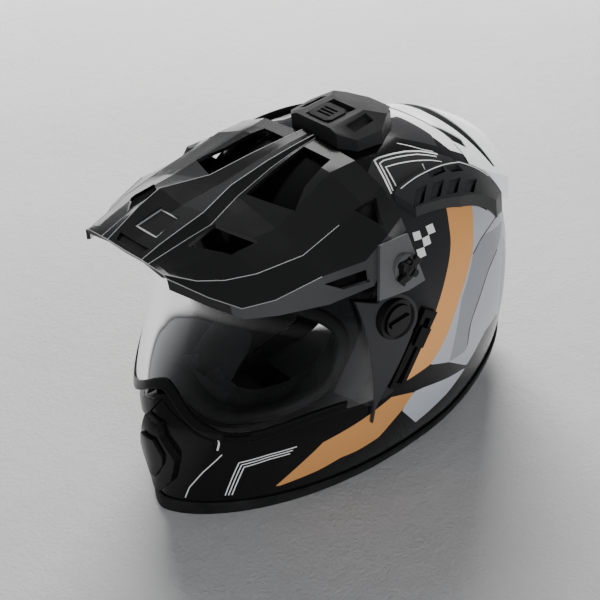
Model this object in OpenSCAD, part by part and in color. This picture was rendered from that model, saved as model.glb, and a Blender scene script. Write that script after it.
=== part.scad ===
// Adventure full face helmet with a peak, a flip-up clear shield, an inner sun visor and closable vents.
// Front of the helmet is -Y, the wearer's left is +X, and the rim stands on z = 0.

/* [Shell] */
// Width of the shell over the ears
shell_w = 254; // [240:1:270]
// Height of the crown above the table
shell_h = 252; // [244:1:262]
// Height of the widest line of the shell
belt_z = 133; // [126:1:140]
// Reach of the shell to the rear
rear_reach = 163; // [152:1:172]
// Reach of the brow to the front
brow_reach = 127; // [120:1:134]
// How far the chin bar stands ahead of the brow
chin_reach = 56; // [46:1:64]
// Width of the shell at its lower rim
rim_w = 182; // [172:1:196]
// Reach of the lower rim to the rear
rim_rear = 154; // [144:1:160]
// Reach of the lower rim to the front
rim_front = 189; // [178:1:196]
// How far the rim rises at the nape
nape_rise = 28; // [16:1:36]
// Thickness of the shell wall
shell_t = 4; // [3:0.5:5]
// Depth of the field that the shield lies in
field_depth = 6; // [5:0.5:7]
// Height of the rubber trim round the rim
trim_h = 12; // [10:0.5:15]

/* [Eye port] */
// Height of the upper edge of the eye port
port_top = 180; // [174:1:184]
// Height of the lower edge of the eye port at its sides
port_low = 96; // [92:1:104]
// Height of the lower edge of the eye port over the chin
port_chin = 116; // [112:1:120]
// Half of the angle that the eye port spans
port_angle = 58; // [50:1:62]
// Width of the rubber seal round the eye port
seal_w = 7; // [5:0.5:8]

/* [Liner] */
// Thickness of the foam liner at the crown
foam_t = 28; // [22:1:32]
// Thickness of the crown pad
crown_pad_t = 9; // [6:0.5:12]
// Thickness of the cheek pads at their fullest
cheek_t = 24; // [16:1:28]
// Thickness of the neck roll at its fullest
neck_t = 17; // [10:1:20]

/* [Shield] */
// Height of the shield's upper edge over the brow
shield_top = 187; // [184:1:190]
// Thickness of the shield
shield_t = 2.5; // [2:0.25:3]
// Clearance between the shield and the field under it
shield_air = 8; // [7.5:0.25:9]
// How far the shield's axis lies ahead of the ears
pivot_fore = 37; // [33:1:40]
// Height of the shield's axis
pivot_z = 162; // [158:1:164]
// Radius of the shield's hub
hub_r = 16; // [14:0.5:17]
// Radius of the pivot stub
stub_r = 5; // [4:0.25:6]
// Radius of the turning cap over the pivot
cap_r = 12.5; // [10:0.5:14]

/* [Sun visor] */
// Thickness of the sun visor
visor_t = 2; // [1.5:0.25:2.5]
// Angle of the stowed sun visor's lower edge over its axis
visor_from = 13; // [12:1:18]
// Angle that the sun visor spans from its lower to its upper edge
visor_span = 46; // [38:1:48]

/* [Peak] */
// Reach of the peak to the front
peak_reach = 180; // [165:1:190]
// Height of the peak's front edge
peak_front_z = 243; // [240:1:250]
// Width of the peak's front edge
peak_front_w = 96; // [84:1:104]
// Width of the peak at its rear sides
peak_w = 216; // [212:1:222]
// Thickness of the peak
peak_t = 3; // [2.5:0.25:3.5]
// Gap between the peak's hem and the crown
peak_air = 7; // [6.5:0.5:8]
// How far the peak's axis lies ahead of the ears
arm_fore = 22; // [18:1:24]
// Height of the peak's axis
arm_z = 199; // [197:1:202]
// Radius of the thumb screws' heads
screw_r = 9.5; // [8:0.5:10.5]

/* [Vents] */
// Height of the top vent over the crown
top_vent_h = 15; // [12:1:18]
// Travel of the top vent's slider
top_travel = 7; // [4:0.5:8]
// How far the chin vent stands out
chin_vent_out = 7; // [5:0.5:9]
// Thickness of the chin vent's shutter
shutter_t = 2.5; // [2:0.5:4]
// Travel of the chin vent's shutter
chin_travel = 7; // [4:0.5:8]
// How far the spoiler's edge stays ahead of the rear of the shell
spoiler_in = 3; // [0:1:8]
// Half of the spoiler's span
spoiler_half = 84; // [78:1:88]
// How far the side vents stand out
side_vent_out = 6; // [5:0.5:7]

/* [Straps] */
// Width of the chin strap
strap_w = 24; // [20:1:28]
// Thickness of the chin strap
strap_t = 2; // [1.5:0.25:3]

/* [Hidden] */

$fn = 48;
// Gap between curved faces that lie on each other
gap = 0.3;
// Gap under the pieces that sit on the curved shell
lift = 0.6;
// Running clearance of a shaft in its bore
run = 0.05;
half_w = shell_w/2;
// How far the rounding of the nose reaches, as a cosine
nose_round = 0.12;
side_flat = 2.3;
nose_sharp = 1.6;
rear_full = 2.15;
// The flat swell at the sides that carries the pivots
swell = 5;
swell_t = -32;
swell_z = 156;

function ramp(x) = let(c = max(0, min(1, x))) c*c*(3 - 2*c);
function mix(a, b, k) = a + (b - a)*k;
function pinch(u, p) = pow(max(0, 1 - pow(abs(u), p)), 1/p);
// Angle between a column and the nose, 0 at the nose and 180 at the nape
function off_nose(t) = let(a = (t + 90 + 720) % 360) a > 180 ? 360 - a : a;
function rise(z) = max(0, min(1, (z - belt_z)/(shell_h - belt_z)));
function drop(z) = max(0, (belt_z - z)/belt_z);
function width_at(z, o) = (half_w + o)*pinch(rise(z), 2.25) - (half_w - rim_w/2)*pow(drop(z), 2);
function rear_at(z, o) = (rear_reach + o)*pinch(rise(z), 2.2) - (rear_reach - rim_rear)*pow(drop(z), 2.2);
function front_at(z, o) = (brow_reach + o)*pinch(rise(z), 2.1) + chin_reach*ramp((belt_z + 30 - z)/90)
    - (brow_reach + chin_reach - rim_front)*ramp((50 - z)/70);
// Cosine with its nose rounded, raised to 2/b
function bow(c, b) = c*pow((c*c + nose_round*nose_round)/(1 + nose_round*nose_round), 1/b - 0.5);
function swell_at(t, z) = let(d = (off_nose(t) - (90 + swell_t))/13, h = (z - swell_z)/34)
    swell*exp(-d*d - h*h);
// Point of the helmet's outer form at angle t and height z, moved out by o
function skin(t, z, o) = let(c = cos(t), s = sin(t), front = s < 0, lean = ramp((belt_z + 10 - z)/80),
    a = front ? side_flat - 0.15*lean : rear_full, b = front ? nose_sharp - 0.08*lean : rear_full,
    out = o + swell_at(t, z))
    [width_at(z, out)*bow(c, b), (front ? -front_at(z, out) : rear_at(z, out))*pow(abs(s), 2/a),
     z + out*rise(z)];

// Height of the rim line, level at the front and rising to the nape
function rim_z(t) = nape_rise*ramp((skin(t, 0, 0)[1] - 30)/100);
// Lower edge of the shield, by the angle from the nose: high over the chin, low beside it
edge_low = 82;
edge_chin = 108;
edge_side = 98;
function shield_edge(d) = edge_chin - (edge_chin - edge_low)*ramp(d/35)
    + (edge_side - edge_low)*ramp((d - 35)/28);
function field_edge(d) = shield_edge(d) + 48*ramp((d - 66)/18);
// How far the outer form is sunk where the shield and the peak lie over it
function sink(t, z) = let(d = off_nose(t))
    field_depth*ramp((89 - d)/5)*ramp((z - field_edge(d) + 7)/7)*ramp((shell_h - 14 - z)/22);

port_mid = 140;
function port_u(t) = min(1, off_nose(t)/port_angle);
function port_upper(t) = port_mid + (port_top - port_mid)*pinch(port_u(t), 3.4);
function port_lower(t) = port_mid
    - mix(port_mid - port_chin, port_mid - port_low, ramp(off_nose(t)/35))*pinch(port_u(t), 3.4);
function in_port(t) = off_nose(t) < port_angle - 0.01;

port_steps = 10;
back_steps = 27;
cols = concat([for (k = [-port_steps:port_steps]) -90 + port_angle*sin(k*90/port_steps)],
    [for (k = [1:back_steps]) -90 + port_angle + k*(360 - 2*port_angle)/(back_steps + 1)]);
low_rows = 8;
high_rows = 12;
// Rows below the port's height: four up to the field's step, one over the step, and three up to the port
function low_z(i, t) = let(step = shield_edge(off_nose(t)), foot = rim_z(t) + trim_h/2)
    i <= 4 ? mix(foot, step - 7, i/4) : mix(step, port_lower(t), (i - 5)/3);
function high_z(i, t) = mix(port_upper(t), shell_h, sin(90*i/high_rows));

function quad(a, b, c, d) = [[a, b, c], [a, c, d]];
function join(lists) = [for (l = lists) for (v = l) v];
function unit(v) = v/norm(v);

// A shell between two sunk forms, open below its first row and at the eye port
module port_layer(out, inn, first) {
    n = len(cols);
    function face(f) = concat(
        [for (i = [first:low_rows]) for (t = cols) let(z = low_z(i, t)) skin(t, z, f(z) - sink(t, z))],
        [for (i = [0:high_rows - 1]) for (t = cols) let(z = high_z(i, t)) skin(t, z, f(z) - sink(t, z))],
        [[0, 0, shell_h + f(shell_h)]]);
    low_n = (low_rows + 1 - first)*n;
    m = low_n + high_rows*n + 1;
    function lo(i, j) = (i - first)*n + j % n;
    function hi(i, j) = i == 0 && !in_port(cols[j % n]) ? lo(low_rows, j) : low_n + i*n + j % n;
    edge = [for (j = [0:n - 1]) if (in_port(cols[j]) || in_port(cols[(j + 1) % n])) j];
    polyhedron(concat(face(out), face(inn)), concat(
        join([for (i = [first:low_rows - 1]) for (j = [0:n - 1])
            quad(lo(i, j), lo(i + 1, j), lo(i + 1, j + 1), lo(i, j + 1))]),
        join([for (i = [0:high_rows - 2]) for (j = [0:n - 1])
            quad(hi(i, j), hi(i + 1, j), hi(i + 1, j + 1), hi(i, j + 1))]),
        [for (j = [0:n - 1]) [hi(high_rows - 1, j), m - 1, hi(high_rows - 1, j + 1)]],
        join([for (i = [first:low_rows - 1]) for (j = [0:n - 1])
            quad(m + lo(i, j), m + lo(i, j + 1), m + lo(i + 1, j + 1), m + lo(i + 1, j))]),
        join([for (i = [0:high_rows - 2]) for (j = [0:n - 1])
            quad(m + hi(i, j), m + hi(i, j + 1), m + hi(i + 1, j + 1), m + hi(i + 1, j))]),
        [for (j = [0:n - 1]) [m + hi(high_rows - 1, j), m + hi(high_rows - 1, j + 1), 2*m - 1]],
        join([for (j = [0:n - 1])
            quad(lo(first, j), lo(first, j + 1), m + lo(first, j + 1), m + lo(first, j))]),
        join([for (j = edge) let(a = lo(low_rows, j), b = lo(low_rows, j + 1)) quad(b, a, m + a, m + b)]),
        join([for (j = edge) let(a = hi(0, j), b = hi(0, j + 1)) quad(a, b, m + b, m + a)])));
}

// A cap-shaped layer of the crown from the given row up to the top
module cap_layer(out, inn, first) {
    n = len(cols);
    function face(f) = concat(
        [for (i = [first:high_rows - 1]) for (t = cols)
            let(z = high_z(i, t)) skin(t, z, f(i, z) - sink(t, z))],
        [[0, 0, shell_h + f(high_rows, shell_h)]]);
    rows = high_rows - first;
    m = rows*n + 1;
    function at(i, j) = i*n + j % n;
    polyhedron(concat(face(out), face(inn)), concat(
        join([for (i = [0:rows - 2]) for (j = [0:n - 1])
            quad(at(i, j), at(i + 1, j), at(i + 1, j + 1), at(i, j + 1))]),
        [for (j = [0:n - 1]) [at(rows - 1, j), m - 1, at(rows - 1, j + 1)]],
        join([for (i = [0:rows - 2]) for (j = [0:n - 1])
            quad(m + at(i, j), m + at(i, j + 1), m + at(i + 1, j + 1), m + at(i + 1, j))]),
        [for (j = [0:n - 1]) [m + at(rows - 1, j), m + at(rows - 1, j + 1), 2*m - 1]],
        join([for (j = [0:n - 1]) quad(at(0, j), at(0, j + 1), m + at(0, j + 1), m + at(0, j))])));
}

// The whole outer form as a solid, moved out by o, with the field sunk by the share k
module form(o, k = 0) {
    n = len(cols);
    rows = 22;
    zs = [for (i = [0:rows - 1]) let(u = i/rows)
        u < 0.5 ? 2*u*belt_z : mix(belt_z, shell_h, sin(180*(u - 0.5)))];
    function at(i, j) = i*n + j % n;
    polyhedron(concat([for (z = zs) for (t = cols) skin(t, z, o - k*sink(t, z))],
        [[0, 0, shell_h + o], [0, 0, 0]]), concat(
        join([for (i = [0:rows - 2]) for (j = [0:n - 1])
            quad(at(i, j), at(i + 1, j), at(i + 1, j + 1), at(i, j + 1))]),
        [for (j = [0:n - 1]) [at(rows - 1, j), rows*n, at(rows - 1, j + 1)]],
        [for (j = [0:n - 1]) [at(0, j + 1), rows*n + 1, at(0, j)]]));
}

// A slab between two grids; u runs to the right and v upwards, seen from outside
module slab(nu, nv, out, inn) {
    m = (nu + 1)*(nv + 1);
    function at(i, j) = j*(nu + 1) + i;
    polyhedron(concat([for (j = [0:nv]) for (i = [0:nu]) out(i/nu, j/nv)],
        [for (j = [0:nv]) for (i = [0:nu]) inn(i/nu, j/nv)]), concat(
        join([for (j = [0:nv - 1]) for (i = [0:nu - 1])
            quad(at(i, j), at(i, j + 1), at(i + 1, j + 1), at(i + 1, j))]),
        join([for (j = [0:nv - 1]) for (i = [0:nu - 1])
            quad(m + at(i, j), m + at(i + 1, j), m + at(i + 1, j + 1), m + at(i, j + 1))]),
        join([for (i = [0:nu - 1]) quad(at(i, 0), at(i + 1, 0), m + at(i + 1, 0), m + at(i, 0))]),
        join([for (i = [0:nu - 1]) quad(at(i + 1, nv), at(i, nv), m + at(i, nv), m + at(i + 1, nv))]),
        join([for (j = [0:nv - 1]) quad(at(0, j + 1), at(0, j), m + at(0, j), m + at(0, j + 1))]),
        join([for (j = [0:nv - 1]) quad(at(nu, j), at(nu, j + 1), m + at(nu, j + 1), m + at(nu, j))])));
}

// A closed loop of rings, each a closed outline of points
module loop_of(rings) {
    n = len(rings);
    m = len(rings[0]);
    function at(i, k) = (i % n)*m + k % m;
    polyhedron(join(rings), join([for (i = [0:n - 1]) for (k = [0:m - 1])
        quad(at(i, k), at(i, k + 1), at(i + 1, k + 1), at(i + 1, k))]));
}

// A band with the cross-section of each ring, closed by flat ends
module band_of(rings) {
    n = len(rings);
    m = len(rings[0]);
    function at(i, k) = i*m + k % m;
    polyhedron(join(rings), concat(
        join([for (i = [0:n - 2]) for (k = [0:m - 1])
            quad(at(i, k), at(i, k + 1), at(i + 1, k + 1), at(i + 1, k))]),
        [for (k = [1:m - 2]) [at(0, 0), at(0, k + 1), at(0, k)]],
        [for (k = [1:m - 2]) [at(n - 1, 0), at(n - 1, k), at(n - 1, k + 1)]]));
}

// Works a cut or a union out on the faceted forms, which are curved all over
module faceted() { resize([0, 0, 0]) children(); }
// An outline drawn from the side, x to the rear and y up, as a prism across the helmet's left half
module side_prism(from, to) {
    translate([from, 0, 0]) rotate([90, 0, 90]) linear_extrude(to - from) children();
}
// An outline drawn from the front, as a prism towards the front
module front_prism(depth) { rotate([90, 0, 0]) linear_extrude(depth) children(); }
module both() {
    children();
    mirror([1, 0, 0]) children();
}
module on_side(side) { mirror([side < 0 ? 1 : 0, 0, 0]) children(); }

// How far the rim trim reaches past the shell
trim_out = 2.8;
// The chin vent's window, and the lower end of its shutter
window_low = 46;
window_high = 74;
shutter_low = window_low - 3 - chin_travel;
// The origin lies under the middle of the whole helmet
front_y = -front_at(shutter_low, chin_vent_out + lift + shutter_t);
rear_y = rear_reach;
module place() { translate([0, -(front_y + rear_y)/2, 0]) children(); }

/* Main pieces */

// Where the pivots' flat seats lie
seat_x = 115;
base_t = 2.4;
hub_in = seat_x + base_t + gap;
hub_out = hub_in + 8.8;
boss_in = 104.6;
boss_out = boss_in + 10;
boss_r = 8.2;
arm_lean = 20;
arm_in = 118.2;
arm_t = 3;
arm_face = arm_in + arm_t/cos(arm_lean) + 1.4;
visor_y = -34;
visor_z = 170;
visor_r = 62.5;
visor_half = 104;
pin_r = 3;
visor_x = 97;
visor_hub_h = 4.5;
visor_hub_r = 8;
visor_seat = visor_x + visor_hub_h + gap + 0.8;

module outer_shell() place() color([0.13, 0.13, 0.14]) faceted() difference() {
    union() {
        port_layer(function(z) 0, function(z) -shell_t, 0);
        intersection() {
            both() translate([visor_seat, visor_y, visor_z]) rotate([0, 90, 0]) cylinder(h = 12, r = 7);
            form(-shell_t/2, 1);
        }
        difference() {
            both() {
                translate([seat_x - 22, -pivot_fore, pivot_z]) rotate([0, 90, 0])
                    cylinder(h = 22, r = hub_r - 1);
                translate([80, -arm_fore, arm_z]) rotate([0, 90, 0]) cylinder(h = boss_in - 80, r = boss_r);
            }
            form(lift - shell_t, 1);
        }
    }
    both() {
        translate([seat_x, -pivot_fore, pivot_z]) rotate([0, 90, 0]) cylinder(h = 30, r = hub_r + 1.5);
        translate([boss_in, -arm_fore, arm_z]) rotate([0, 90, 0]) cylinder(h = 30, r = boss_r + 1);
    }
    translate([0, -rim_front + 30, 0]) front_prism(60) polygon([[-8, window_high - 2],
        [8, window_high - 2], [10, window_low + 4], [0, window_low - 2], [-10, window_low + 4]]);
}

function foam_in(z) = -shell_t - gap - foam_t*(1 - 0.68*pow(drop(z), 1.4));
module foam_liner() place() color([0.2, 0.2, 0.21]) faceted() difference() {
    port_layer(function(z) -shell_t - gap, function(z) foam_in(z), 1);
    visor_pocket();
}
// Point on the foam's inner face at column i and row r, both counted in parts, moved in by o
function foam_point(i, r, o) = let(k = floor(i), w = i - k, j = min(floor(r), low_rows - 1), v = r - j)
    mix(mix(foam_node(k, j, o), foam_node(k + 1, j, o), w),
        mix(foam_node(k, j + 1, o), foam_node(k + 1, j + 1, o), w), v);
function foam_node(k, j, o) = let(t = cols[(k + len(cols)) % len(cols)], z = low_z(j, t))
    skin(t, z, foam_in(z) - sink(t, z) - o);

module crown_pad() place() color([0.16, 0.16, 0.17])
    cap_layer(function(i, z) foam_in(z) - gap,
        function(i, z) foam_in(z) - gap - mix(3, crown_pad_t, ramp((i - 4)/2)), 4);

function crown_of(u, v) = pinch(2*u - 1, 3)*pinch(2*v - 1, 3);
module cheek_pad(side) {
    function at(u, v, o) = foam_point(2*port_steps + mix(-3, 5, u), mix(1, 5.5, v), lift + 2*gap + o);
    on_side(side) slab(16, 9, function(u, v) at(u, v, 0),
        function(u, v) at(u, v, 5 + (cheek_t - 5)*crown_of(u, v)));
}
module cheek_pad_left() place() color([0.1, 0.1, 0.11]) cheek_pad(1);
module cheek_pad_right() place() color([0.1, 0.1, 0.11]) cheek_pad(-1);

module neck_roll() {
    nape = 2*port_steps + (back_steps + 1)/2;
    function at(u, v, o) = foam_point(nape + mix(-7.5, 7.5, u), mix(1, 3, v), gap + o);
    place() color([0.1, 0.1, 0.11]) slab(30, 6, function(u, v) at(u, v, 0),
        function(u, v) at(u, v, 4 + (neck_t - 4)*crown_of(u, v)));
}

module chin_curtain() {
    function at(u, v, h) = skin(mix(-142, -38, u), 0, mix(-shell_t - 4.8, -42, v))
        + [0, 0, mix(8, 15, v) + h];
    place() color([0.08, 0.08, 0.08]) slab(14, 3, function(u, v) at(u, v, 1.5), function(u, v) at(u, v, 0));
}

module breath_guard() {
    function at(u, v, o) = let(t = mix(-112, -68, u),
        z = mix(port_chin - 14, port_chin + 18*pinch(2*u - 1, 2.5), v))
        skin(t, z, foam_in(port_chin) - sink(t, port_chin) - 0.1 - 9*v*v - o);
    place() color([0.1, 0.1, 0.1]) slab(10, 4, function(u, v) at(u, v, 0), function(u, v) at(u, v, 2));
}

// Eye port edge as one loop: along the lower edge to the left end, and back along the upper edge
port_cols = [for (k = [-port_steps:port_steps]) -90 + port_angle*sin(k*90/port_steps)];
port_loop = concat([for (t = port_cols) [t, port_lower(t)]],
    [for (k = [1:2*port_steps - 1]) let(t = port_cols[2*port_steps - k]) [t, port_upper(t)]]);
deg_mm = PI*half_w/180;
function port_out(i) = let(n = len(port_loop), a = port_loop[(i + n - 1) % n], b = port_loop[(i + 1) % n],
    d = [(b[0] - a[0])*deg_mm, b[1] - a[1]]) [d[1], -d[0]]/norm(d);
module port_seal() place() color([0.05, 0.05, 0.05]) {
    lip = [[-2.5, -shell_t], [-0.4, -shell_t], [-0.4, lift], [seal_w, lift + 0.2],
        [seal_w - 1, 4], [1.5, 6], [-2.5, 4.5]];
    loop_of([for (i = [0:len(port_loop) - 1]) let(p = port_loop[i], o = port_out(i))
        [for (q = lip) let(t = p[0] + o[0]*q[0]/deg_mm, z = p[1] + o[1]*q[0])
            skin(t, z, q[1] - field_depth)]]);
}

module rim_trim() place() color([0.07, 0.07, 0.07]) difference() {
    section = [[trim_out, 2.5], [trim_out, trim_h - 1], [gap, trim_h], [gap, trim_h/2 - gap],
        [-shell_t - gap, trim_h/2 - gap], [-shell_t - gap, trim_h], [-shell_t - 3.5, trim_h - 1],
        [-shell_t - 4, 2], [-shell_t - 2, -1], [1, -1]];
    loop_of([for (t = cols) [for (q = section) let(p = skin(t, rim_z(t) + max(0, q[1]), q[0]))
        [p[0], p[1], rim_z(t) + q[1]]]]);
    translate([-200, -300, -20]) cube([400, 600, 20]);
}

chin_outline = [[-12, 88], [12, 88], [21, 68], [21, 44], [13, 27], [0, 21], [-13, 27], [-21, 44], [-21, 68]];
module chin_vent_housing() place() color([0.05, 0.05, 0.05]) faceted() difference() {
    intersection() {
        front_prism(230) polygon(chin_outline);
        form(chin_vent_out);
    }
    form(lift);
    front_prism(230) polygon([[-7, window_high], [7, window_high], [9, window_low + 6], [0, window_low],
        [-9, window_low + 6]]);
}

module chin_vent_shutter() place() color([0.04, 0.04, 0.04]) faceted() difference() {
    intersection() {
        front_prism(230) polygon([[-9, window_high + 2], [9, window_high + 2], [14, window_high - 8],
            [12, shutter_low + 10], [0, shutter_low], [-12, shutter_low + 10], [-14, window_high - 8]]);
        form(chin_vent_out + lift + shutter_t);
    }
    form(chin_vent_out + lift);
}

module mouth_grille() place() color([0.1, 0.1, 0.1]) faceted() difference() {
    intersection() {
        front_prism(230) polygon([[-6.7, window_high - gap], [6.7, window_high - gap],
            [8.7, window_low + 6.2], [0, window_low + 0.4], [-8.7, window_low + 6.2]]);
        form(3);
    }
    form(lift);
    for (z = [window_low + 6:5:window_high - 4]) translate([-5, -rim_front - 10, z]) cube([10, 60, 2.4]);
}

/* Crown */
vent_y = 6;
vent_top = shell_h + top_vent_h;
groove_w = 26;
slide_l = 22;
module vent_outline() polygon([[-26, vent_y], [26, vent_y], [38, vent_y + 10], [40, vent_y + 34],
    [25, vent_y + 58],
    [10, vent_y + 68], [-10, vent_y + 68], [-25, vent_y + 58], [-40, vent_y + 34], [-38, vent_y + 10]]);
module top_vent_base() place() color([0.06, 0.06, 0.06]) faceted() difference() {
    linear_extrude(vent_top) vent_outline();
    form(lift);
    translate([-50, vent_y + 36, vent_top]) rotate([-21, 0, 0]) cube([100, 100, 40]);
    translate([0, vent_y, vent_top - 8]) rotate([24, 0, 0]) translate([-50, -40, 0]) cube([100, 40, 30]);
    both() translate([19, -20, vent_top]) rotate([0, 24, 0]) cube([60, 120, 30]);
    translate([-groove_w/2, vent_y + 4, vent_top - 4]) cube([groove_w, slide_l + top_travel + 2*gap, 10]);
}
module top_vent_slider() place() color([0.1, 0.1, 0.1]) difference() {
    translate([0, vent_y + 4 + gap, vent_top - 4 + gap]) linear_extrude(5)
        polygon([[-groove_w/2 + gap, 4], [-groove_w/2 + 4, 0], [groove_w/2 - 4, 0], [groove_w/2 - gap, 4],
            [groove_w/2 - gap, slide_l - 4], [groove_w/2 - 4, slide_l], [-groove_w/2 + 4, slide_l],
            [-groove_w/2 + gap, slide_l - 4]]);
    for (k = [0:2]) translate([-7, vent_y + 10 + 4*k, vent_top]) cube([14, 1.8, 4]);
}

// Spoiler: a hood from the rear of the crown to a swept trailing edge
crown_h = shell_h - belt_z;
function hood(u, v) = let(w = 2*u - 1, a = abs(w), x = mix(0.74, 1, v)*spoiler_half*w,
    y0 = 0.6*rear_reach - 20*a*a, y1 = rear_reach - spoiler_in - 28*pow(a, 2.2),
    z0 = shell_h - crown_h*(0.193 + 0.092*a*a), z1 = shell_h - crown_h*(0.403 + 0.126*a*a))
    [x, mix(y0, y1, v), mix(z0, z1, v) + 7*sin(180*v)*(1 - 0.6*a)];
function hood_depth(u) = 3 + 18*pow(abs(2*u - 1), 8);
module rear_spoiler() place() color([0.85, 0.85, 0.86]) faceted() difference() {
    slab(12, 6, function(u, v) hood(u, v), function(u, v) hood(u, v) - [0, 0, hood_depth(u)]);
    form(lift);
}
module exhaust_grille() place() color([0.05, 0.05, 0.05]) faceted() difference() {
    intersection() {
        linear_extrude(shell_h) translate([0, rear_reach])
            polygon([[-52, -55], [52, -55], [60, -39], [40, -21], [0, -13], [-40, -21], [-60, -39]]);
        form(12);
        slab(12, 6, function(u, v) hood(u, v) - [0, 0, hood_depth(u) + gap],
            function(u, v) hood(u, v) - [0, 0, crown_h/2]);
    }
    form(lift);
    for (k = [-4:4]) translate([k*12 - 3.5, rear_reach - 31, belt_z]) cube([7, 40, crown_h]);
}

// Plan of the louvred band on the left, and of its four slanted louvres and two small slots
module over_crown() translate([0, 0, belt_z]) linear_extrude(2*crown_h)
    scale([shell_w/254, rear_reach/163]) children();
module side_vent(side) on_side(side) faceted() difference() {
    intersection() {
        over_crown() polygon([[83, 12], [80.5, 32], [77.5, 62], [76, 84], [81, 112], [86, 122], [97, 104],
            [100.5, 60], [99, 15], [86, 6]]);
        form(side_vent_out);
    }
    form(lift);
    over_crown() {
        for (k = [0:3]) translate([0, 18*k]) polygon([[97.5, 16], [97.5, 23], [90, 36], [90, 29]]);
        polygon([[81, 47], [85, 46.5], [83.5, 61.5], [79.5, 63]]);
        polygon([[79.8, 67], [84.2, 67.5], [83.5, 80], [79.3, 79]]);
    }
}
module side_vent_left() place() color([0.3, 0.31, 0.32]) side_vent(1);
module side_vent_right() place() color([0.3, 0.31, 0.32]) side_vent(-1);

/* Shield */
shield_in = shield_air - field_depth;
axis_y = -pivot_fore;
// Side outline of the shield: swept lower edge, straight rear edge, trimmed upper corner and hub
module shield_outline() {
    polygon([[-230, 60], [-70, 60], [-55, 99], [axis_y + 12, pivot_z - hub_r],
        [axis_y + hub_r - 3, pivot_z + 4], [axis_y - 6, pivot_z + hub_r - 1.5],
        [axis_y - 34, shield_top], [-230, shield_top]]);
    translate([axis_y, pivot_z]) circle(r = hub_r + 3);
}
module shield_blank(o, t) {
    function at(u, v, s) = let(t = mix(-176, -4, u))
        skin(t, mix(shield_edge(off_nose(t)), shield_top + 9, v), s);
    slab(40, 12, function(u, v) at(u, v, o + t), function(u, v) at(u, v, o));
}
lens_end = -62;
module shield_lens() place() color([0.75, 0.8, 0.85, 0.35]) faceted() intersection() {
    shield_blank(shield_in, shield_t);
    side_prism(-200, 200) intersection() {
        shield_outline();
        translate([-300, 0]) square([300 + lens_end, 300]);
    }
}
module shield_side(side) on_side(side) faceted() difference() {
    intersection() {
        shield_blank(shield_in, shield_t);
        side_prism(60, 200) intersection() {
            shield_outline();
            translate([lens_end, 0]) square([300, 300]);
        }
    }
    translate([80, axis_y, pivot_z]) rotate([0, 90, 0]) cylinder(h = 80, r = hub_r + gap);
}
module shield_side_left() place() color([0.26, 0.27, 0.28]) shield_side(1);
module shield_side_right() place() color([0.26, 0.27, 0.28]) shield_side(-1);

module shield_hub(side) on_side(side) difference() {
    translate([hub_in, axis_y, pivot_z]) rotate([0, 90, 0]) cylinder(h = hub_out - hub_in, r = hub_r);
    translate([hub_in - 1, axis_y, pivot_z]) rotate([0, 90, 0]) cylinder(h = 20, r = stub_r + run);
    translate([hub_out - 2, axis_y, pivot_z]) rotate([0, 90, 0]) cylinder(h = 10, r = cap_r + 0.5);
}
module shield_hub_left() place() color([0.12, 0.12, 0.12]) shield_hub(1);
module shield_hub_right() place() color([0.12, 0.12, 0.12]) shield_hub(-1);

// Rail along the shield's lower edge
rail_h = 7;
module shield_rail() {
    function at(u, v, s) = let(t = mix(-154, -26, u)) skin(t, shield_edge(off_nose(t)) + rail_h*v, s);
    place() color([0.05, 0.05, 0.05]) slab(28, 1, function(u, v) at(u, v, shield_in + shield_t + 1.8),
        function(u, v) at(u, v, shield_in + shield_t + gap));
}
module shield_tab() {
    function at(u, v, s) = let(t = mix(-58, -50, u)) skin(t, shield_edge(off_nose(t)) + mix(0, 6, v), s);
    place() color([0.05, 0.05, 0.05]) slab(3, 2, function(u, v) at(u, v, shield_in + shield_t + 5.5 - 2*v),
        function(u, v) at(u, v, shield_in + shield_t + 2.1));
}

module pivot_base(side) on_side(side) {
    translate([seat_x, axis_y, pivot_z]) rotate([0, 90, 0]) cylinder(h = base_t, r = hub_r - 3);
    translate([seat_x, axis_y, pivot_z]) rotate([0, 90, 0]) cylinder(h = hub_out + 0.6 - seat_x, r = stub_r);
}
module pivot_base_left() place() color([0.2, 0.2, 0.2]) pivot_base(1);
module pivot_base_right() place() color([0.2, 0.2, 0.2]) pivot_base(-1);

cap_in = hub_out - 2 + gap;
module pivot_cap(side) on_side(side) difference() {
    union() {
        translate([cap_in, axis_y, pivot_z]) rotate([0, 90, 0]) cylinder(h = 4, r = cap_r);
        translate([cap_in + 4, axis_y - cap_r + 3, pivot_z - 1.8]) cube([2, 2*cap_r - 6, 3.6]);
    }
    translate([cap_in - 1, axis_y, pivot_z]) rotate([0, 90, 0])
        cylinder(h = hub_out + 0.9 - cap_in + 1, r = stub_r + run);
}
module pivot_cap_left() place() color([0.1, 0.1, 0.1]) pivot_cap(1);
module pivot_cap_right() place() color([0.1, 0.1, 0.1]) pivot_cap(-1);

/* Sun visor */
// Point on a barrel round the visor's axis, at the angle k across it and the angle up over the axis,
// drawn in by o
function barrel(k, up, o) = let(r = (visor_r - o)*pow(cos(k), 1.54),
    x = (visor_half - o)*pow(abs(sin(k)), 1.053))
    [k < 0 ? -x : x, visor_y - r*cos(up), visor_z + r*sin(up)];
visor_end = acos(pow((visor_hub_r + gap)/(visor_r - visor_t), 0.65));
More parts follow.
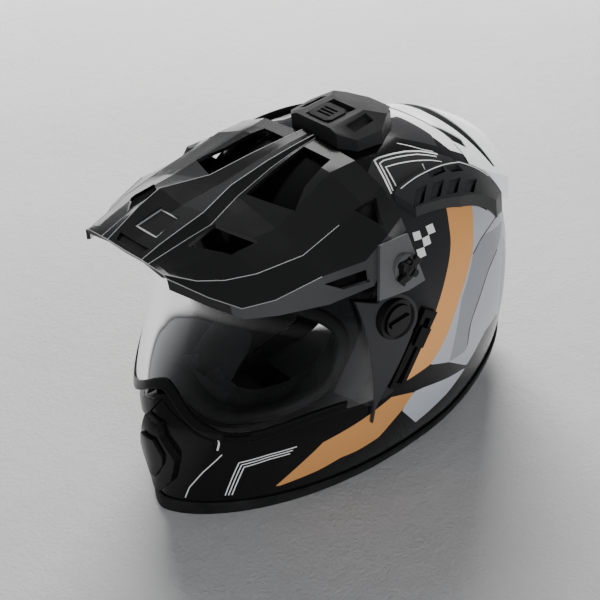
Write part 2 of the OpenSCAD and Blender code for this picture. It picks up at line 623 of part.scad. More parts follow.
// The lens narrows to its arms and widens again round the hubs
function visor_up(k, v) = let(a = abs(k), arm = ramp((a - 42)/18), eye = ramp((a - 67)/5))
    mix(visor_from + 14*arm - 110*eye, visor_from + visor_span - 22*arm + 110*eye, v);
module sun_visor() {
    function at(u, v, o) = let(k = mix(-visor_end, visor_end, u)) barrel(k, visor_up(k, v), o);
    place() color([0.1, 0.1, 0.12, 0.7])
        slab(40, 8, function(u, v) at(u, v, 0), function(u, v) at(u, v, visor_t));
}
visor_drop = 40;
module visor_pocket() {
    function at(u, v, o) = barrel(mix(-78, 78, u), mix(-visor_drop + 6, visor_from + visor_span + 5, v), o);
    both() translate([visor_x - 3, visor_y, visor_z]) rotate([0, 90, 0])
        cylinder(h = 40, r = visor_hub_r + 6.6);
    slab(18, 7, function(u, v) at(u, v, -60), function(u, v) at(u, v, visor_t + 1.4));
}
module visor_hub(side) on_side(side) difference() {
    translate([visor_x, visor_y, visor_z]) rotate([0, 90, 0]) cylinder(h = visor_hub_h, r = visor_hub_r);
    translate([visor_x - 1, visor_y, visor_z]) rotate([0, 90, 0]) cylinder(h = 10, r = pin_r + run);
}
module visor_hub_left() place() color([0.1, 0.1, 0.1]) visor_hub(1);
module visor_hub_right() place() color([0.1, 0.1, 0.1]) visor_hub(-1);
module visor_pin(side) on_side(side) {
    translate([visor_x - 0.5, visor_y, visor_z]) rotate([0, 90, 0])
        cylinder(h = visor_hub_h + 0.8, r = pin_r);
    translate([visor_x + visor_hub_h + gap, visor_y, visor_z]) rotate([0, 90, 0]) cylinder(h = 0.8, r = 6);
}
module visor_pin_left() place() color([0.5, 0.5, 0.5]) visor_pin(1);
module visor_pin_right() place() color([0.5, 0.5, 0.5]) visor_pin(-1);

track_a = skin(-2.5, 150, 0);
track_b = skin(-11.5, 104, 0);
track_along = unit(track_b - track_a);
track_up = unit(cross(track_along, cross([0.95, -0.2, 0.1], track_along)));
track_side = cross(track_up, track_along);
track_l = norm(track_b - track_a);
track_t = 5;
module on_track() multmatrix([[track_along[0], track_side[0], track_up[0], track_a[0]],
    [track_along[1], track_side[1], track_up[1], track_a[1]],
    [track_along[2], track_side[2], track_up[2], track_a[2]]]) children();
module visor_track() place() color([0.06, 0.06, 0.06]) faceted() difference() {
    on_track() translate([-6, -6, -8]) cube([track_l + 12, 12, 8 + track_t]);
    on_track() translate([0, -2.5, -20]) cube([track_l, 5, 40]);
    form(lift);
}
module visor_slider() place() color([0.12, 0.12, 0.12]) on_track() {
    translate([8, -2.2, 3.2]) cube([14, 4.4, track_t + gap - 3.2]);
    translate([7, -4.5, track_t + gap]) cube([16, 9, 3]);
}

/* Peak */
hem_z = shell_h + peak_air;
// Cross-sections from the front edge to the rear hem: how far ahead, then points from the spine to the skirt
function arm_plane(z) = arm_in - (z - arm_z)*tan(arm_lean) - 1.5*gap;
function peak_rows() = let(f = peak_front_w/96, w = peak_w/216, lift = peak_front_z - 243, h = hem_z - 257) [
    [-peak_reach, [[0, 243 + lift], [20.5*f, 243.5 + lift], [28*f, 243 + lift], [38*f, 242.5 + lift],
        [45*f, 242 + lift], [49*f, 240 + lift], [50*f, 231 + lift]]],
    [-peak_reach + 17, [[0, 247 + lift], [22*f, 249 + lift], [30*f, 246 + lift], [48*f, 240 + lift],
        [60*f, 234 + lift], [71*f, 225 + lift], [72*f, 217 + lift]]],
    [-peak_reach + 34, [[0, 250.5], [24.5, 254], [32, 249], [52, 241], [70, 230], [86*w, 213], [87*w, 204]]],
    [-125, [[0, 253 + h/2], [26, 257.5 + h/2], [33, 250 + h/2], [56, 241 + h/2], [80*w, 229], [98*w, 214.5],
        [100*w, 202]]],
    [-88, [[0, 253 + h], [12, 256 + h], [19, 249.5 + h], [60, 238 + h], [88*w, 228 + h/2], [107*w, 219],
        [112*w, 197]]],
    [-50, [[0, 256 + h], [9, 258 + h], [13, 253.5 + h], [54, 246 + h], [86*w, 233 + h],
        [arm_plane(215), 215], [arm_plane(196), 196]]],
    [-24, [[0, 257 + h], [7.5, 258 + h], [10, 255 + h], [50, 251.5 + h], [84*w, 238 + h],
        [arm_plane(223), 223], [arm_plane(213), 213]]],
    [0, [[0, 256.5 + h], [6.5, 257.5 + h], [8, 255 + h], [52, 251.5 + h], [80*w, 239.5 + h],
        [98*w, 222], [103*w, 213]]]];
peak_net = [for (r = peak_rows()) let(y = r[0], p = r[1], n = len(p) - 1)
    [for (k = [-n:n]) [k < 0 ? -p[-k][0] : p[k][0], y, p[abs(k)][1]]]];
function peak_at(i, j) = peak_net[j][i];
function peak_under(i, j) = let(ni = len(peak_net[0]) - 1, nj = len(peak_net) - 1,
    du = peak_at(min(i + 1, ni), j) - peak_at(max(i - 1, 0), j),
    dv = peak_at(i, min(j + 1, nj)) - peak_at(i, max(j - 1, 0)))
    peak_at(i, j) - peak_t*unit(cross(du, dv));
module peak_shell() place() color([0.05, 0.05, 0.05]) faceted() difference() {
    ni = len(peak_net[0]) - 1;
    nj = len(peak_net) - 1;
    slab(ni, nj, function(u, v) peak_at(round(u*ni), round(v*nj)),
        function(u, v) peak_under(round(u*ni), round(v*nj)));
    both() {
        translate([0, 0, shell_h - 27]) linear_extrude(60)
            polygon([[21, -82], [10.5, -14], [38, -12], [46, -46], [58, -67]]);
        translate([0, 0, 215]) linear_extrude(60) polygon([[36, -150], [34, -122], [62, -106], [60, -130]]);
        side_prism(84, 130) polygon([[-34, 240], [-8, 241], [-22, 227]]);
        side_prism(96, 130) polygon([[-88, 213], [-50, 209], [-52, 200], [-74, 203]]);
    }
}

module peak_arm(side) on_side(side) difference() {
    union() {
        translate([arm_in, 0, arm_z]) rotate([0, -arm_lean, 0]) rotate([90, 0, 90]) linear_extrude(arm_t)
            polygon([[-52, -14], [-36, 23], [-9, 20], [-7, -19], [-24, -19]]);
        translate([boss_out + gap, -arm_fore, arm_z]) rotate([0, 90, 0])
            cylinder(h = arm_face - boss_out - gap, r = screw_r + 1);
    }
    translate([arm_face, -arm_fore, arm_z]) rotate([0, 90, 0]) cylinder(h = 20, r = screw_r + 1.5);
    translate([90, -arm_fore, arm_z]) rotate([0, 90, 0]) cylinder(h = 60, r = 4 + run);
}
module peak_arm_left() place() color([0.36, 0.37, 0.38]) peak_arm(1);
module peak_arm_right() place() color([0.36, 0.37, 0.38]) peak_arm(-1);

module peak_boss(side) on_side(side) difference() {
    translate([boss_in, -arm_fore, arm_z]) rotate([0, 90, 0]) cylinder(h = boss_out - boss_in, r = boss_r);
    translate([boss_in + 1.4, -arm_fore, arm_z]) rotate([0, 90, 0]) cylinder(h = 20, r = 4 + run);
}
module peak_boss_left() place() color([0.2, 0.2, 0.2]) peak_boss(1);
module peak_boss_right() place() color([0.2, 0.2, 0.2]) peak_boss(-1);

module peak_screw(side) on_side(side) translate([0, -arm_fore, arm_z]) {
    translate([107, 0, 0]) rotate([0, 90, 0]) cylinder(h = arm_face + 0.4 - 107, r = 4);
    translate([arm_face + 0.3, 0, 0]) rotate([0, 90, 0]) cylinder(h = 5, r = 0.72*screw_r);
    for (a = [45:90:315]) translate([arm_face + 0.3, 0.68*screw_r*cos(a), 0.68*screw_r*sin(a)])
        rotate([0, 90, 0]) cylinder(h = 6, r = 0.32*screw_r);
}
module peak_screw_left() place() color([0.03, 0.03, 0.03]) peak_screw(1);
module peak_screw_right() place() color([0.03, 0.03, 0.03]) peak_screw(-1);

/* Straps */
strap_y = -28;
module chin_strap(side, last) on_side(side) {
    path = [[77, 22], [76.4, 14], [66, 8.6], [44, 7], [last, 7]];
    band_of([for (i = [0:len(path) - 1])
        let(p = path[i], a = path[max(0, i - 1)], b = path[min(len(path) - 1, i + 1)],
        d = unit(b - a), n = [-d[1], d[0]]*strap_t/2)
        [[p[0] + n[0], strap_y - strap_w/2, p[1] + n[1]], [p[0] + n[0], strap_y + strap_w/2, p[1] + n[1]],
         [p[0] - n[0], strap_y + strap_w/2, p[1] - n[1]], [p[0] - n[0], strap_y - strap_w/2, p[1] - n[1]]]]);
}
module chin_strap_left() place() color([0.1, 0.1, 0.1]) chin_strap(1, ring_x + 6 + gap);
module chin_strap_right() place() color([0.1, 0.1, 0.1]) chin_strap(-1, 6 - ring_x + gap);
module strap_anchors() place() color([0.6, 0.6, 0.6]) faceted() intersection() {
    both() translate([78.3, strap_y, 18.2]) rotate([0, 90, 0]) cylinder(h = 40, r = 5);
    form(-shell_t - gap);
}
ring_x = 4;
module d_ring(z) translate([ring_x, strap_y, z]) {
    difference() {
        cube([12, strap_w + 10, 3], center = true);
        cube([6, strap_w + 2, 5], center = true);
    }
}
module d_ring_outer() place() color([0.6, 0.6, 0.6]) d_ring(7);
module d_ring_inner() place() color([0.6, 0.6, 0.6]) d_ring(7 + 3 + gap);

outer_shell();
foam_liner();
crown_pad();
cheek_pad_left();
cheek_pad_right();
neck_roll();
chin_curtain();
breath_guard();
port_seal();
rim_trim();
chin_vent_housing();
chin_vent_shutter();
mouth_grille();
top_vent_base();
top_vent_slider();
rear_spoiler();
exhaust_grille();
side_vent_left();
side_vent_right();
pivot_base_left();
pivot_base_right();
shield_lens();
shield_side_left();
shield_side_right();
shield_hub_left();
shield_hub_right();
shield_rail();
shield_tab();
pivot_cap_left();
pivot_cap_right();
sun_visor();
visor_hub_left();
visor_hub_right();
visor_pin_left();
visor_pin_right();
visor_track();
visor_slider();
peak_shell();
peak_arm_left();
peak_arm_right();
peak_screw_left();
peak_screw_right();
peak_boss_left();
peak_boss_right();
chin_strap_left();
chin_strap_right();
strap_anchors();
d_ring_outer();
d_ring_inner();
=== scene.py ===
"""Looks of the adventure full face helmet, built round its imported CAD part.

The front of the helmet is -Y, the wearer's left is +X, and the rim stands on z = 0. Every surface is
worked out in millimetres from the same form functions and sizes as the CAD part, and placed in the row frame
in metres.
"""

import math

import bmesh
import bpy
import numpy as np
from bpy.props import FloatProperty, FloatVectorProperty, IntProperty, PointerProperty
from mathutils import Matrix, Vector


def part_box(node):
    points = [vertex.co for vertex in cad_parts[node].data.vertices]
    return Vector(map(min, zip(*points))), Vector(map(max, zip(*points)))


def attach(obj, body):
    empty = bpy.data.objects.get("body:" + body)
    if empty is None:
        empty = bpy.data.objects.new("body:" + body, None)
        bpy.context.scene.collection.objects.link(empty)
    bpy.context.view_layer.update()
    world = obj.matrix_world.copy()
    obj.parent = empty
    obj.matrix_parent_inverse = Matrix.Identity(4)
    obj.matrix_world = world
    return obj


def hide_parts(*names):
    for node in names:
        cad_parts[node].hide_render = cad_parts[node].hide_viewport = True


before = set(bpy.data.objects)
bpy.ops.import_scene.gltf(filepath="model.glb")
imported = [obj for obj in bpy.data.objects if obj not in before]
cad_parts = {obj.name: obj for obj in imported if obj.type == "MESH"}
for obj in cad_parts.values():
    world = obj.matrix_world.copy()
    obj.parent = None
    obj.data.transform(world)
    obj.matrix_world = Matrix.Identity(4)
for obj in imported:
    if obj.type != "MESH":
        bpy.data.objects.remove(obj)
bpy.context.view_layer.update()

bl_info = {
    "name": "Adventure Helmet",
    "version": (1, 0, 0),
    "blender": (4, 5, 0),
    "location": "View3D > Sidebar > Helmet",
    "description": "Builds an adventure full face helmet with a peak, a clear shield and closable vents",
    "category": "Add Mesh",
}

# A millimetre in metres, a metre in millimetres, and the two sides
MM, METRE = 0.001, 1000.0
SIDES = ((1, "left"), (-1, "right"))

# Sizes of the form, in millimetres
SHELL_W, SHELL_H, BELT_Z = 254.0, 252.0, 133.0
REAR_REACH, BROW_REACH, CHIN_REACH = 163.0, 127.0, 56.0
RIM_W, RIM_REAR, RIM_FRONT, NAPE_RISE = 182.0, 154.0, 189.0, 28.0
SHELL_T, FIELD_DEPTH, TRIM_H = 4.0, 6.0, 12.0
PORT_TOP, PORT_LOW, PORT_CHIN, PORT_ANGLE, PORT_MID, SEAL_W = 180.0, 96.0, 116.0, 58.0, 140.0, 7.0
FOAM_T, CROWN_PAD_T, CHEEK_T, NECK_T = 28.0, 9.0, 24.0, 17.0
SHIELD_TOP, SHIELD_T, SHIELD_IN = 187.0, 2.5, 2.0
PIVOT_Y, PIVOT_Z, HUB_R, SEAT_X = -37.0, 162.0, 16.0, 115.0
ARM_Y, ARM_Z, BOSS_X, BOSS_R = -22.0, 199.0, 104.6, 8.2
ARM_IN, ARM_LEAN, PEAK_T, HEM_Z = 118.2, 20.0, 3.0, 259.0
VISOR_Y, VISOR_Z, VISOR_R, VISOR_HALF, VISOR_T = -34.0, 170.0, 62.5, 104.0, 2.0
VENT_Y, VENT_TOP = 6.0, 267.0
AHEAD, OUTBOARD, PAINT_OUT, CROWN_Z = (-230, -130), (60, 200), 0.22, 190
GAP, LIFT = 0.3, 0.6
EDGE_CHIN, EDGE_LOW, EDGE_SIDE = 108.0, 82.0, 98.0
SPOILER_HALF, SPOILER_IN = 84.0, 3.0
BADGE_Y, BADGE_Z, BADGE_SLOPE, BADGE_IN = -146.0, 249.6, 10.5, 0.4
SLOT_Y, SLOT_Z, SLOT_SLOPE, SLOT_DEPTH = -173.0, 245.2, 15.0, 1.7
BAND_LOW, BAND_TOP, BAND_H, POCKET_IN, LOUVRE_STEP = 150, 258, 6, 4.2, 18
WING_TURN, BEAD_R, STRAP_Y, SPLIT = 35.0, 0.3, -28.0, 4

# The point the camera looks at, in millimetres
CAMERA_AT = (16.486, -39.63, 130.0)


# Form


def ramp(x):
    """0 below 0, 1 above 1, and 3x^2 - 2x^3 between."""
    c = np.clip(x, 0, 1)
    return c * c * (3 - 2 * c)


def mix(a, b, k):
    """a at k = 0 and b at k = 1, in a straight line."""
    return a + (b - a) * k


def pinch(u, p):
    """Upper half of the superellipse of power p: (1 - |u|^p)^(1/p)."""
    return np.clip(1 - np.abs(u) ** p, 0, None) ** (1 / p)


def off_nose(t):
    """Angle of a column from the nose, 0 at the nose and 180 at the nape."""
    a = np.mod(np.asarray(t) + 810, 360)
    return np.where(a > 180, 360 - a, a)


def rise(z):
    """How far z is up from the widest line to the crown, 0 to 1."""
    return np.clip((z - BELT_Z) / (SHELL_H - BELT_Z), 0, 1)


def drop(z):
    """How far z is down from the widest line to the table, 0 to 1."""
    return np.clip((BELT_Z - z) / BELT_Z, 0, None)


def width_at(z, o):
    """Half width at height z, moved out by o: a superellipse above the widest line, and drawn in below it
    with the square of the way down."""
    return (SHELL_W / 2 + o) * pinch(rise(z), 2.25) - (SHELL_W - RIM_W) / 2 * drop(z) ** 2


def rear_at(z, o):
    """Reach to the rear at height z: a superellipse above the widest line and a power of 2.2 below."""
    return (REAR_REACH + o) * pinch(rise(z), 2.2) - (REAR_REACH - RIM_REAR) * drop(z) ** 2.2


def front_at(z, o):
    """Reach to the front at height z: the brow's superellipse, the chin bar's swell, and the tuck to the
    rim."""
    return ((BROW_REACH + o) * pinch(rise(z), 2.1) + CHIN_REACH * ramp((BELT_Z + 30 - z) / 90)
            - (BROW_REACH + CHIN_REACH - RIM_FRONT) * ramp((50 - z) / 70))


def skin(t, z, o=0.0):
    """Point of the outer form at angle t and height z, moved out by o. Each level is a superellipse whose
    nose is sharper than its back, with a flat swell at the sides under the pivots."""
    t, z, o = np.broadcast_arrays(np.asarray(t, float), np.asarray(z, float), np.asarray(o, float))
    c, s = np.cos(np.radians(t)), np.sin(np.radians(t))
    front = s < 0
    lean = ramp((BELT_Z + 10 - z) / 80)
    a = np.where(front, 2.3 - 0.15 * lean, 2.15)
    b = np.where(front, 1.6 - 0.08 * lean, 2.15)
    out = o + 5 * np.exp(-(((off_nose(t) - 58) / 13) ** 2) - ((z - 156) / 34) ** 2)
    bow = c * ((c * c + 0.0144) / 1.0144) ** (1 / b - 0.5)
    reach = np.where(front, -front_at(z, out), rear_at(z, out))
    return np.stack([width_at(z, out) * bow, reach * np.abs(s) ** (2 / a), z + out * rise(z)], -1)


FRONT_Y = -float(front_at(36.0, 10.1))
SHIFT = -(FRONT_Y + REAR_REACH) / 2


def rim_z(t):
    """Height of the rim line: level at the front and rising to the nape."""
    return NAPE_RISE * ramp((skin(t, 0, 0)[..., 1] - 30) / 100)


def shield_edge(d):
    """Lower edge of the shield by the angle d from the nose: high over the chin, low beside it, and higher
    at the side."""
    return EDGE_CHIN - (EDGE_CHIN - EDGE_LOW) * ramp(d / 35) + (EDGE_SIDE - EDGE_LOW) * ramp((d - 35) / 28)


def sink(t, z):
    """Depth of the field that the shield and the peak lie in."""
    d = off_nose(t)
    edge = shield_edge(d) + 48 * ramp((d - 66) / 18)
    return FIELD_DEPTH * ramp((89 - d) / 5) * ramp((z - edge + 7) / 7) * ramp((SHELL_H - 14 - z) / 22)


def port_upper(t):
    """Upper edge of the eye port: a superellipse over its middle line."""
    return PORT_MID + (PORT_TOP - PORT_MID) * pinch(np.minimum(1, off_nose(t) / PORT_ANGLE), 3.4)


def port_lower(t):
    """Lower edge of the eye port, drawn up over the chin."""
    d = off_nose(t)
    return PORT_MID - mix(PORT_MID - PORT_CHIN, PORT_MID - PORT_LOW, ramp(d / 35)) * pinch(
        np.minimum(1, d / PORT_ANGLE), 3.4)


def foam_in(z):
    """How far the foam's inner face lies inside the form: thick at the crown and thin at the rim."""
    return -SHELL_T - GAP - FOAM_T * (1 - 0.68 * drop(z) ** 1.4)


def row_z(r, t):
    """Height of row r at angle t: 0 to 4 up to the field's step, 4 to 5 over it, 5 to 8 up to the port."""
    step, foot = shield_edge(off_nose(t)), rim_z(t) + TRIM_H / 2
    return np.where(r <= 4, mix(foot, step - 7, r / 4),
                    np.where(r <= 5, mix(step - 7, step, r - 4), mix(step, port_lower(t), (r - 5) / 3)))


def columns():
    """Angles of the columns round the helmet, close together over the port, at its ends and at the field's
    edge."""
    port = -90 + PORT_ANGLE * np.sin(np.radians(np.linspace(-90, 90, 89)))
    spans = ((58, 80, 12), (80, 92, 17), (92, 180, 61))
    side = np.concatenate([np.linspace(*span)[1:] for span in spans])
    return np.concatenate([port, -90 + side, (-90 - side[:-1])[::-1] + 360])


# Meshes


def grid(rows, cols, wrap=False, start=0):
    """Quads of a grid of rows x cols points, each row closed to a ring if wrap."""
    i = np.arange(rows - 1)[:, None]
    j = np.arange(cols if wrap else cols - 1)[None]
    k = (j + 1) % cols
    quads = np.stack([i * cols + j, i * cols + k, (i + 1) * cols + k, (i + 1) * cols + j], -1)
    return start + quads.reshape(-1, 4)


def strip(a, b):
    """Quads between two lines of indices of the same length."""
    return np.stack([a[:-1], a[1:], b[1:], b[:-1]], -1)


def placed(name, data):
    """A new object of that data in the scene."""
    obj = bpy.data.objects.new(name, data)
    bpy.context.scene.collection.objects.link(obj)
    return obj


def piece(name, points, faces, angle=35.0):
    """A mesh object of points in millimetres and lists of quads or triangles, with its normals turned
    outward."""
    points = np.asarray(points, float).reshape(-1, 3)
    used = np.unique(np.concatenate([f.ravel() for f in faces]))
    remap = np.full(len(points), -1)
    remap[used] = np.arange(len(used))
    points = points[used]
    loops = np.concatenate([remap[f].ravel() for f in faces])
    sizes = np.concatenate([np.full(len(f), f.shape[1]) for f in faces])
    mesh = bpy.data.meshes.new(name)
    mesh.vertices.add(len(points))
    mesh.vertices.foreach_set("co", ((points + (0, SHIFT, 0)) * MM).ravel())
    mesh.loops.add(len(loops))
    mesh.loops.foreach_set("vertex_index", loops.astype(np.int32))
    mesh.polygons.add(len(sizes))
    mesh.polygons.foreach_set("loop_start", np.concatenate([[0], np.cumsum(sizes)[:-1]]).astype(np.int32))
    mesh.polygons.foreach_set("loop_total", sizes.astype(np.int32))
    mesh.update(calc_edges=True)
    mesh.validate()
    obj = placed(name, mesh)
    outward(obj)
    shade(obj, angle)
    return obj


def outward(obj):
    """Turns the normals of a closed mesh outward."""
    work = bmesh.new()
    work.from_mesh(obj.data)
    bmesh.ops.recalc_face_normals(work, faces=work.faces)
    work.to_mesh(obj.data)
    work.free()


def shade(obj, angle=35.0):
    """Smooth shading, with edges over the angle kept sharp."""
    obj.data.shade_smooth()
    obj.data.set_sharp_from_angle(angle=math.radians(angle))


def slab(name, outer, inner, angle=35.0):
    """A closed solid between two grids of points of the same size."""
    rows, cols = outer.shape[:2]
    m = rows * cols
    at = np.arange(m).reshape(rows, cols)
    around = np.concatenate([at[0], at[1:, -1], at[-1, -2::-1], at[-2::-1, 0]])
    return piece(name, np.concatenate([outer.reshape(-1, 3), inner.reshape(-1, 3)]),
                 [grid(rows, cols), grid(rows, cols, start=m)[:, ::-1], strip(around, around + m)], angle)


def rings(name, points, closed=True, angle=35.0):
    """A tube of rings of points; its ends are joined, or closed by fans round their middles."""
    n, m = points.shape[:2]
    if closed:
        points = np.concatenate([points, points[:1]])
        quads = grid(n + 1, m, wrap=True) % (n * m)
        return piece(name, points[:n], [quads], angle)
    ends = np.stack([points[0].mean(0), points[-1].mean(0)])
    j = np.arange(m)
    k = (j + 1) % m
    first = np.stack([np.full(m, n * m), k, j], -1)
    last = np.stack([np.full(m, n * m + 1), (n - 1) * m + j, (n - 1) * m + k], -1)
    points = np.concatenate([points.reshape(-1, 3), ends])
    return piece(name, points, [grid(n, m, wrap=True), first, last], angle)


def prism(outline, axis, low, high, name="cutter"):
    """A prism over an outline. Along z the outline is (x, y), along y (x, z), and along x (y, z)."""
    p = np.asarray(outline, float)
    order = {"z": (0, 1, 2), "y": (0, 2, 1), "x": (1, 2, 0)}[axis]
    points = np.zeros((2, len(p), 3))
    points[..., order[0]] = p[:, 0]
    points[..., order[1]] = p[:, 1]
    points[0, :, order[2]], points[1, :, order[2]] = low, high
    n = len(p)
    k = np.arange(n)
    sides = np.stack([k, (k + 1) % n, n + (k + 1) % n, n + k], -1)
    return piece(name, points, [sides, k[None, ::-1], n + k[None]], 30.0)


def circle(x, y, r, n=64):
    """Points of a circle."""
    a = np.linspace(0, 2 * np.pi, n, endpoint=False)
    return np.stack([x + r * np.cos(a), y + r * np.sin(a)], -1)


def turned(obj, matrix):
    """Applies a matrix in millimetres, about the helmet's own origin, to a mesh."""
    to = Matrix.Translation((0, SHIFT * MM, 0))
    place = Matrix(matrix)
    place.translation = place.translation * MM
    obj.data.transform(to @ place @ to.inverted())
    return obj


def box_at(size, centre, turn=(0, 0, 0)):
    """A cuboid of that size at a centre, turned by degrees about x, y and z."""
    w, d, h = (0.5 * v for v in size)
    block = prism([(-w, -d), (w, -d), (w, d), (-w, d)], "z", -h, h)
    spin = [Matrix.Rotation(math.radians(a), 4, n) for a, n in zip(turn, "XYZ")]
    return turned(block, Matrix.Translation(centre) @ spin[2] @ spin[1] @ spin[0])


def tipped(obj, x, y, z, slope):
    """Turns a piece about x by a slope in degrees, and then moves it."""
    return turned(obj, Matrix.Translation((x, y, z)) @ Matrix.Rotation(math.radians(slope), 4, "X"))


def bake(obj):
    """Turns an object's modifiers into its mesh."""
    bpy.context.view_layer.update()
    graph = bpy.context.evaluated_depsgraph_get()
    mesh = bpy.data.meshes.new_from_object(obj.evaluated_get(graph))
    old = obj.data
    obj.modifiers.clear()
    obj.data = mesh
    bpy.data.meshes.remove(old)
    mesh.name = obj.name
    return obj


def carve(obj, *cutters, how="DIFFERENCE", angle=35.0):
    """Cuts solids out of a piece, or keeps what they share with it, and removes them."""
    for cutter in cutters:
        cut = obj.modifiers.new("cut", "BOOLEAN")
        cut.operation = how
        cut.solver = "EXACT"
        cut.object = cutter
        bake(obj)
        bpy.data.objects.remove(cutter)
    if not len(obj.data.polygons):
        raise RuntimeError(obj.name + ": nothing is left after its cuts")
    shade(obj, angle)
    return obj


def round_edges(obj, width, angle, segments=2):
    """Gives a piece rounded edges: those over the angle, by width in millimetres."""
    edge = obj.modifiers.new("edge", "BEVEL")
    edge.width = width * MM
    edge.segments = segments
    edge.limit_method = "ANGLE"
    edge.angle_limit = math.radians(angle)
    return obj


def soften(obj, width, segments=2, angle=30.0):
    """Rounds the edges over the angle by width in millimetres, and shades the flats as flats."""
    bake(round_edges(obj, width, angle, segments))
    shade(obj, 50.0)
    flat = obj.modifiers.new("flat", "WEIGHTED_NORMAL")
    flat.keep_sharp = True
    return bake(obj)


def merge(name, *parts):
    """Joins pieces into one mesh."""
    work = bmesh.new()
    for part in parts:
        work.from_mesh(part.data)
    mesh = bpy.data.meshes.new(name)
    work.to_mesh(mesh)
    work.free()
    for part in parts:
        bpy.data.objects.remove(part)
    return placed(name, mesh)


def patch(name, t0, t1, z0, z1, out, inn, nu=60, nv=40, crown=False, sunk=False):
    """A piece of the form between two offsets, over a range of angles and heights."""
    t = np.linspace(t0, t1, nu + 1)[None]
    v = np.linspace(0, 1, nv + 1)[:, None]
    z = mix(z0, z1, np.sin(0.5 * np.pi * v) if crown else v)
    k = sink(t, z) if sunk else 0.0
    return slab(name, skin(t, z, out - k), skin(t, z, inn - k))


def on_form(target, view, o=0.0):
    """Angles and heights where the left half of the form, moved out by o and sunk at its field, is met by
    points seen from the side (y, z), from the front (x, z) or from above (x, y): a first guess from the
    superellipses, then Newton's steps on both values at once."""
    goal = np.asarray(target, float)
    pick = {"side": [1, 2], "front": [0, 2], "above": [0, 1]}[view]
    first, z = goal[..., 0], goal[..., 1].copy()
    if view == "above":
        low, high = np.full(first.shape, BELT_Z), np.full(first.shape, SHELL_H - 0.2)
        for _ in range(30):
            mid = (low + high) / 2
            reach = np.where(goal[..., 1] < 0, front_at(mid, 0), rear_at(mid, 0))
            inside = (np.abs(first) / width_at(mid, 0)) ** 1.9 + (np.abs(goal[..., 1]) / reach) ** 2.1 < 1
            low, high = np.where(inside, mid, low), np.where(inside, high, mid)
        z = low
    if view == "front":
        t = -np.degrees(np.arccos(np.clip(np.abs(first) / width_at(z, 0), 0, 0.999) ** 0.775))
    else:
        y = goal[..., 1] if view == "above" else first
        reach = np.where(y < 0, front_at(z, 0), rear_at(z, 0))
        t = np.degrees(np.arcsin(np.clip(np.sign(y) * (np.abs(y) / reach) ** 1.1, -0.999, 0.999)))

    def miss(t, z):
        """How far the form's point at t and z is from its goal, in the view."""
        return skin(t, z, o - sink(t, z))[..., pick] - goal

    for _ in range(30):
        f = miss(t, z)
        a, b = (miss(t + 0.02, z) - f) / 0.02, (miss(t, z + 0.02) - f) / 0.02
        det = a[..., 0] * b[..., 1] - a[..., 1] * b[..., 0]
        t = t - np.clip((f[..., 0] * b[..., 1] - f[..., 1] * b[..., 0]) / det, -4, 4)
        z = z - np.clip((a[..., 0] * f[..., 1] - a[..., 1] * f[..., 0]) / det, -4, 4)
    return t, z


def spaced(path, step=1.5):
    """Points along an open line of straight runs, about a step apart, with its corners kept."""
    p = np.asarray(path, float)
    runs = []
    for a, b in zip(p[:-1], p[1:]):
        n = max(2, int(np.linalg.norm(b - a) / step))
        runs.append(mix(a, b, np.linspace(0, 1, n)[:, None])[:-1])
    return np.concatenate(runs + [p[-1:]])


def ribbon(path, view, width, out=PAINT_OUT, o=0.0):
    """A thin flat line painted on the form: each point of its path is moved along the surface, across the
    path, by half the width."""
    t, z = on_form(path, view, o)
    at = skin(t, z, o - sink(t, z))
    up = np.cross(skin(t + 0.1, z, o) - skin(t - 0.1, z, o), skin(t, z + 0.1, o) - skin(t, z - 0.1, o))
    facing = np.sign((up * (at - (0, 0, 130))).sum(-1, keepdims=True))
    up *= facing / np.linalg.norm(up, axis=-1, keepdims=True)
    across = np.cross(up, np.gradient(at, axis=0))
    across *= width / 2 / np.linalg.norm(across, axis=-1, keepdims=True)
    flat = np.stack([at - across, at + across])
    return slab("line", flat + up * out, flat - up * 0.3)


def tile(corners, view, out=PAINT_OUT, n=8):
    """A thin four-cornered patch painted on the form."""
    c = np.asarray(corners, float)
    u, v = np.linspace(0, 1, n)[None, :, None], np.linspace(0, 1, n)[:, None, None]
    t, z = on_form(mix(mix(c[0], c[1], u), mix(c[3], c[2], u), v), view)
    k = sink(t, z)
    return slab("tile", skin(t, z, out - k), skin(t, z, -0.3 - k))


def solid_form(o, nt=150, nz=70):
    """The whole form as a solid, moved out by o, for cutting."""
    t = np.linspace(0, 360, nt, endpoint=False)[None]
    u = np.linspace(0, 1, nz, endpoint=False)[:, None]
    z = np.where(u < 0.5, 2 * u * BELT_Z, mix(BELT_Z, SHELL_H, np.sin(np.pi * (u - 0.5))))
    p = skin(t, z, o)
    ends = np.array([[0, 0, SHELL_H + o], [0, 0, 0.0]])
    j = np.arange(nt)
    k = (j + 1) % nt
    top = np.stack([(nz - 1) * nt + j, (nz - 1) * nt + k, np.full(nt, nz * nt)], -1)
    foot = np.stack([k, j, np.full(nt, nz * nt + 1)], -1)
    return piece("cutter", np.concatenate([p.reshape(-1, 3), ends]), [grid(nz, nt, wrap=True), top, foot])


def flip(obj, side):
    """Mirrors a piece to the wearer's right if side is -1."""
    if side < 0:
        obj.data.transform(Matrix.Scale(-1, 4, (1, 0, 0)))
        obj.data.flip_normals()
    return obj


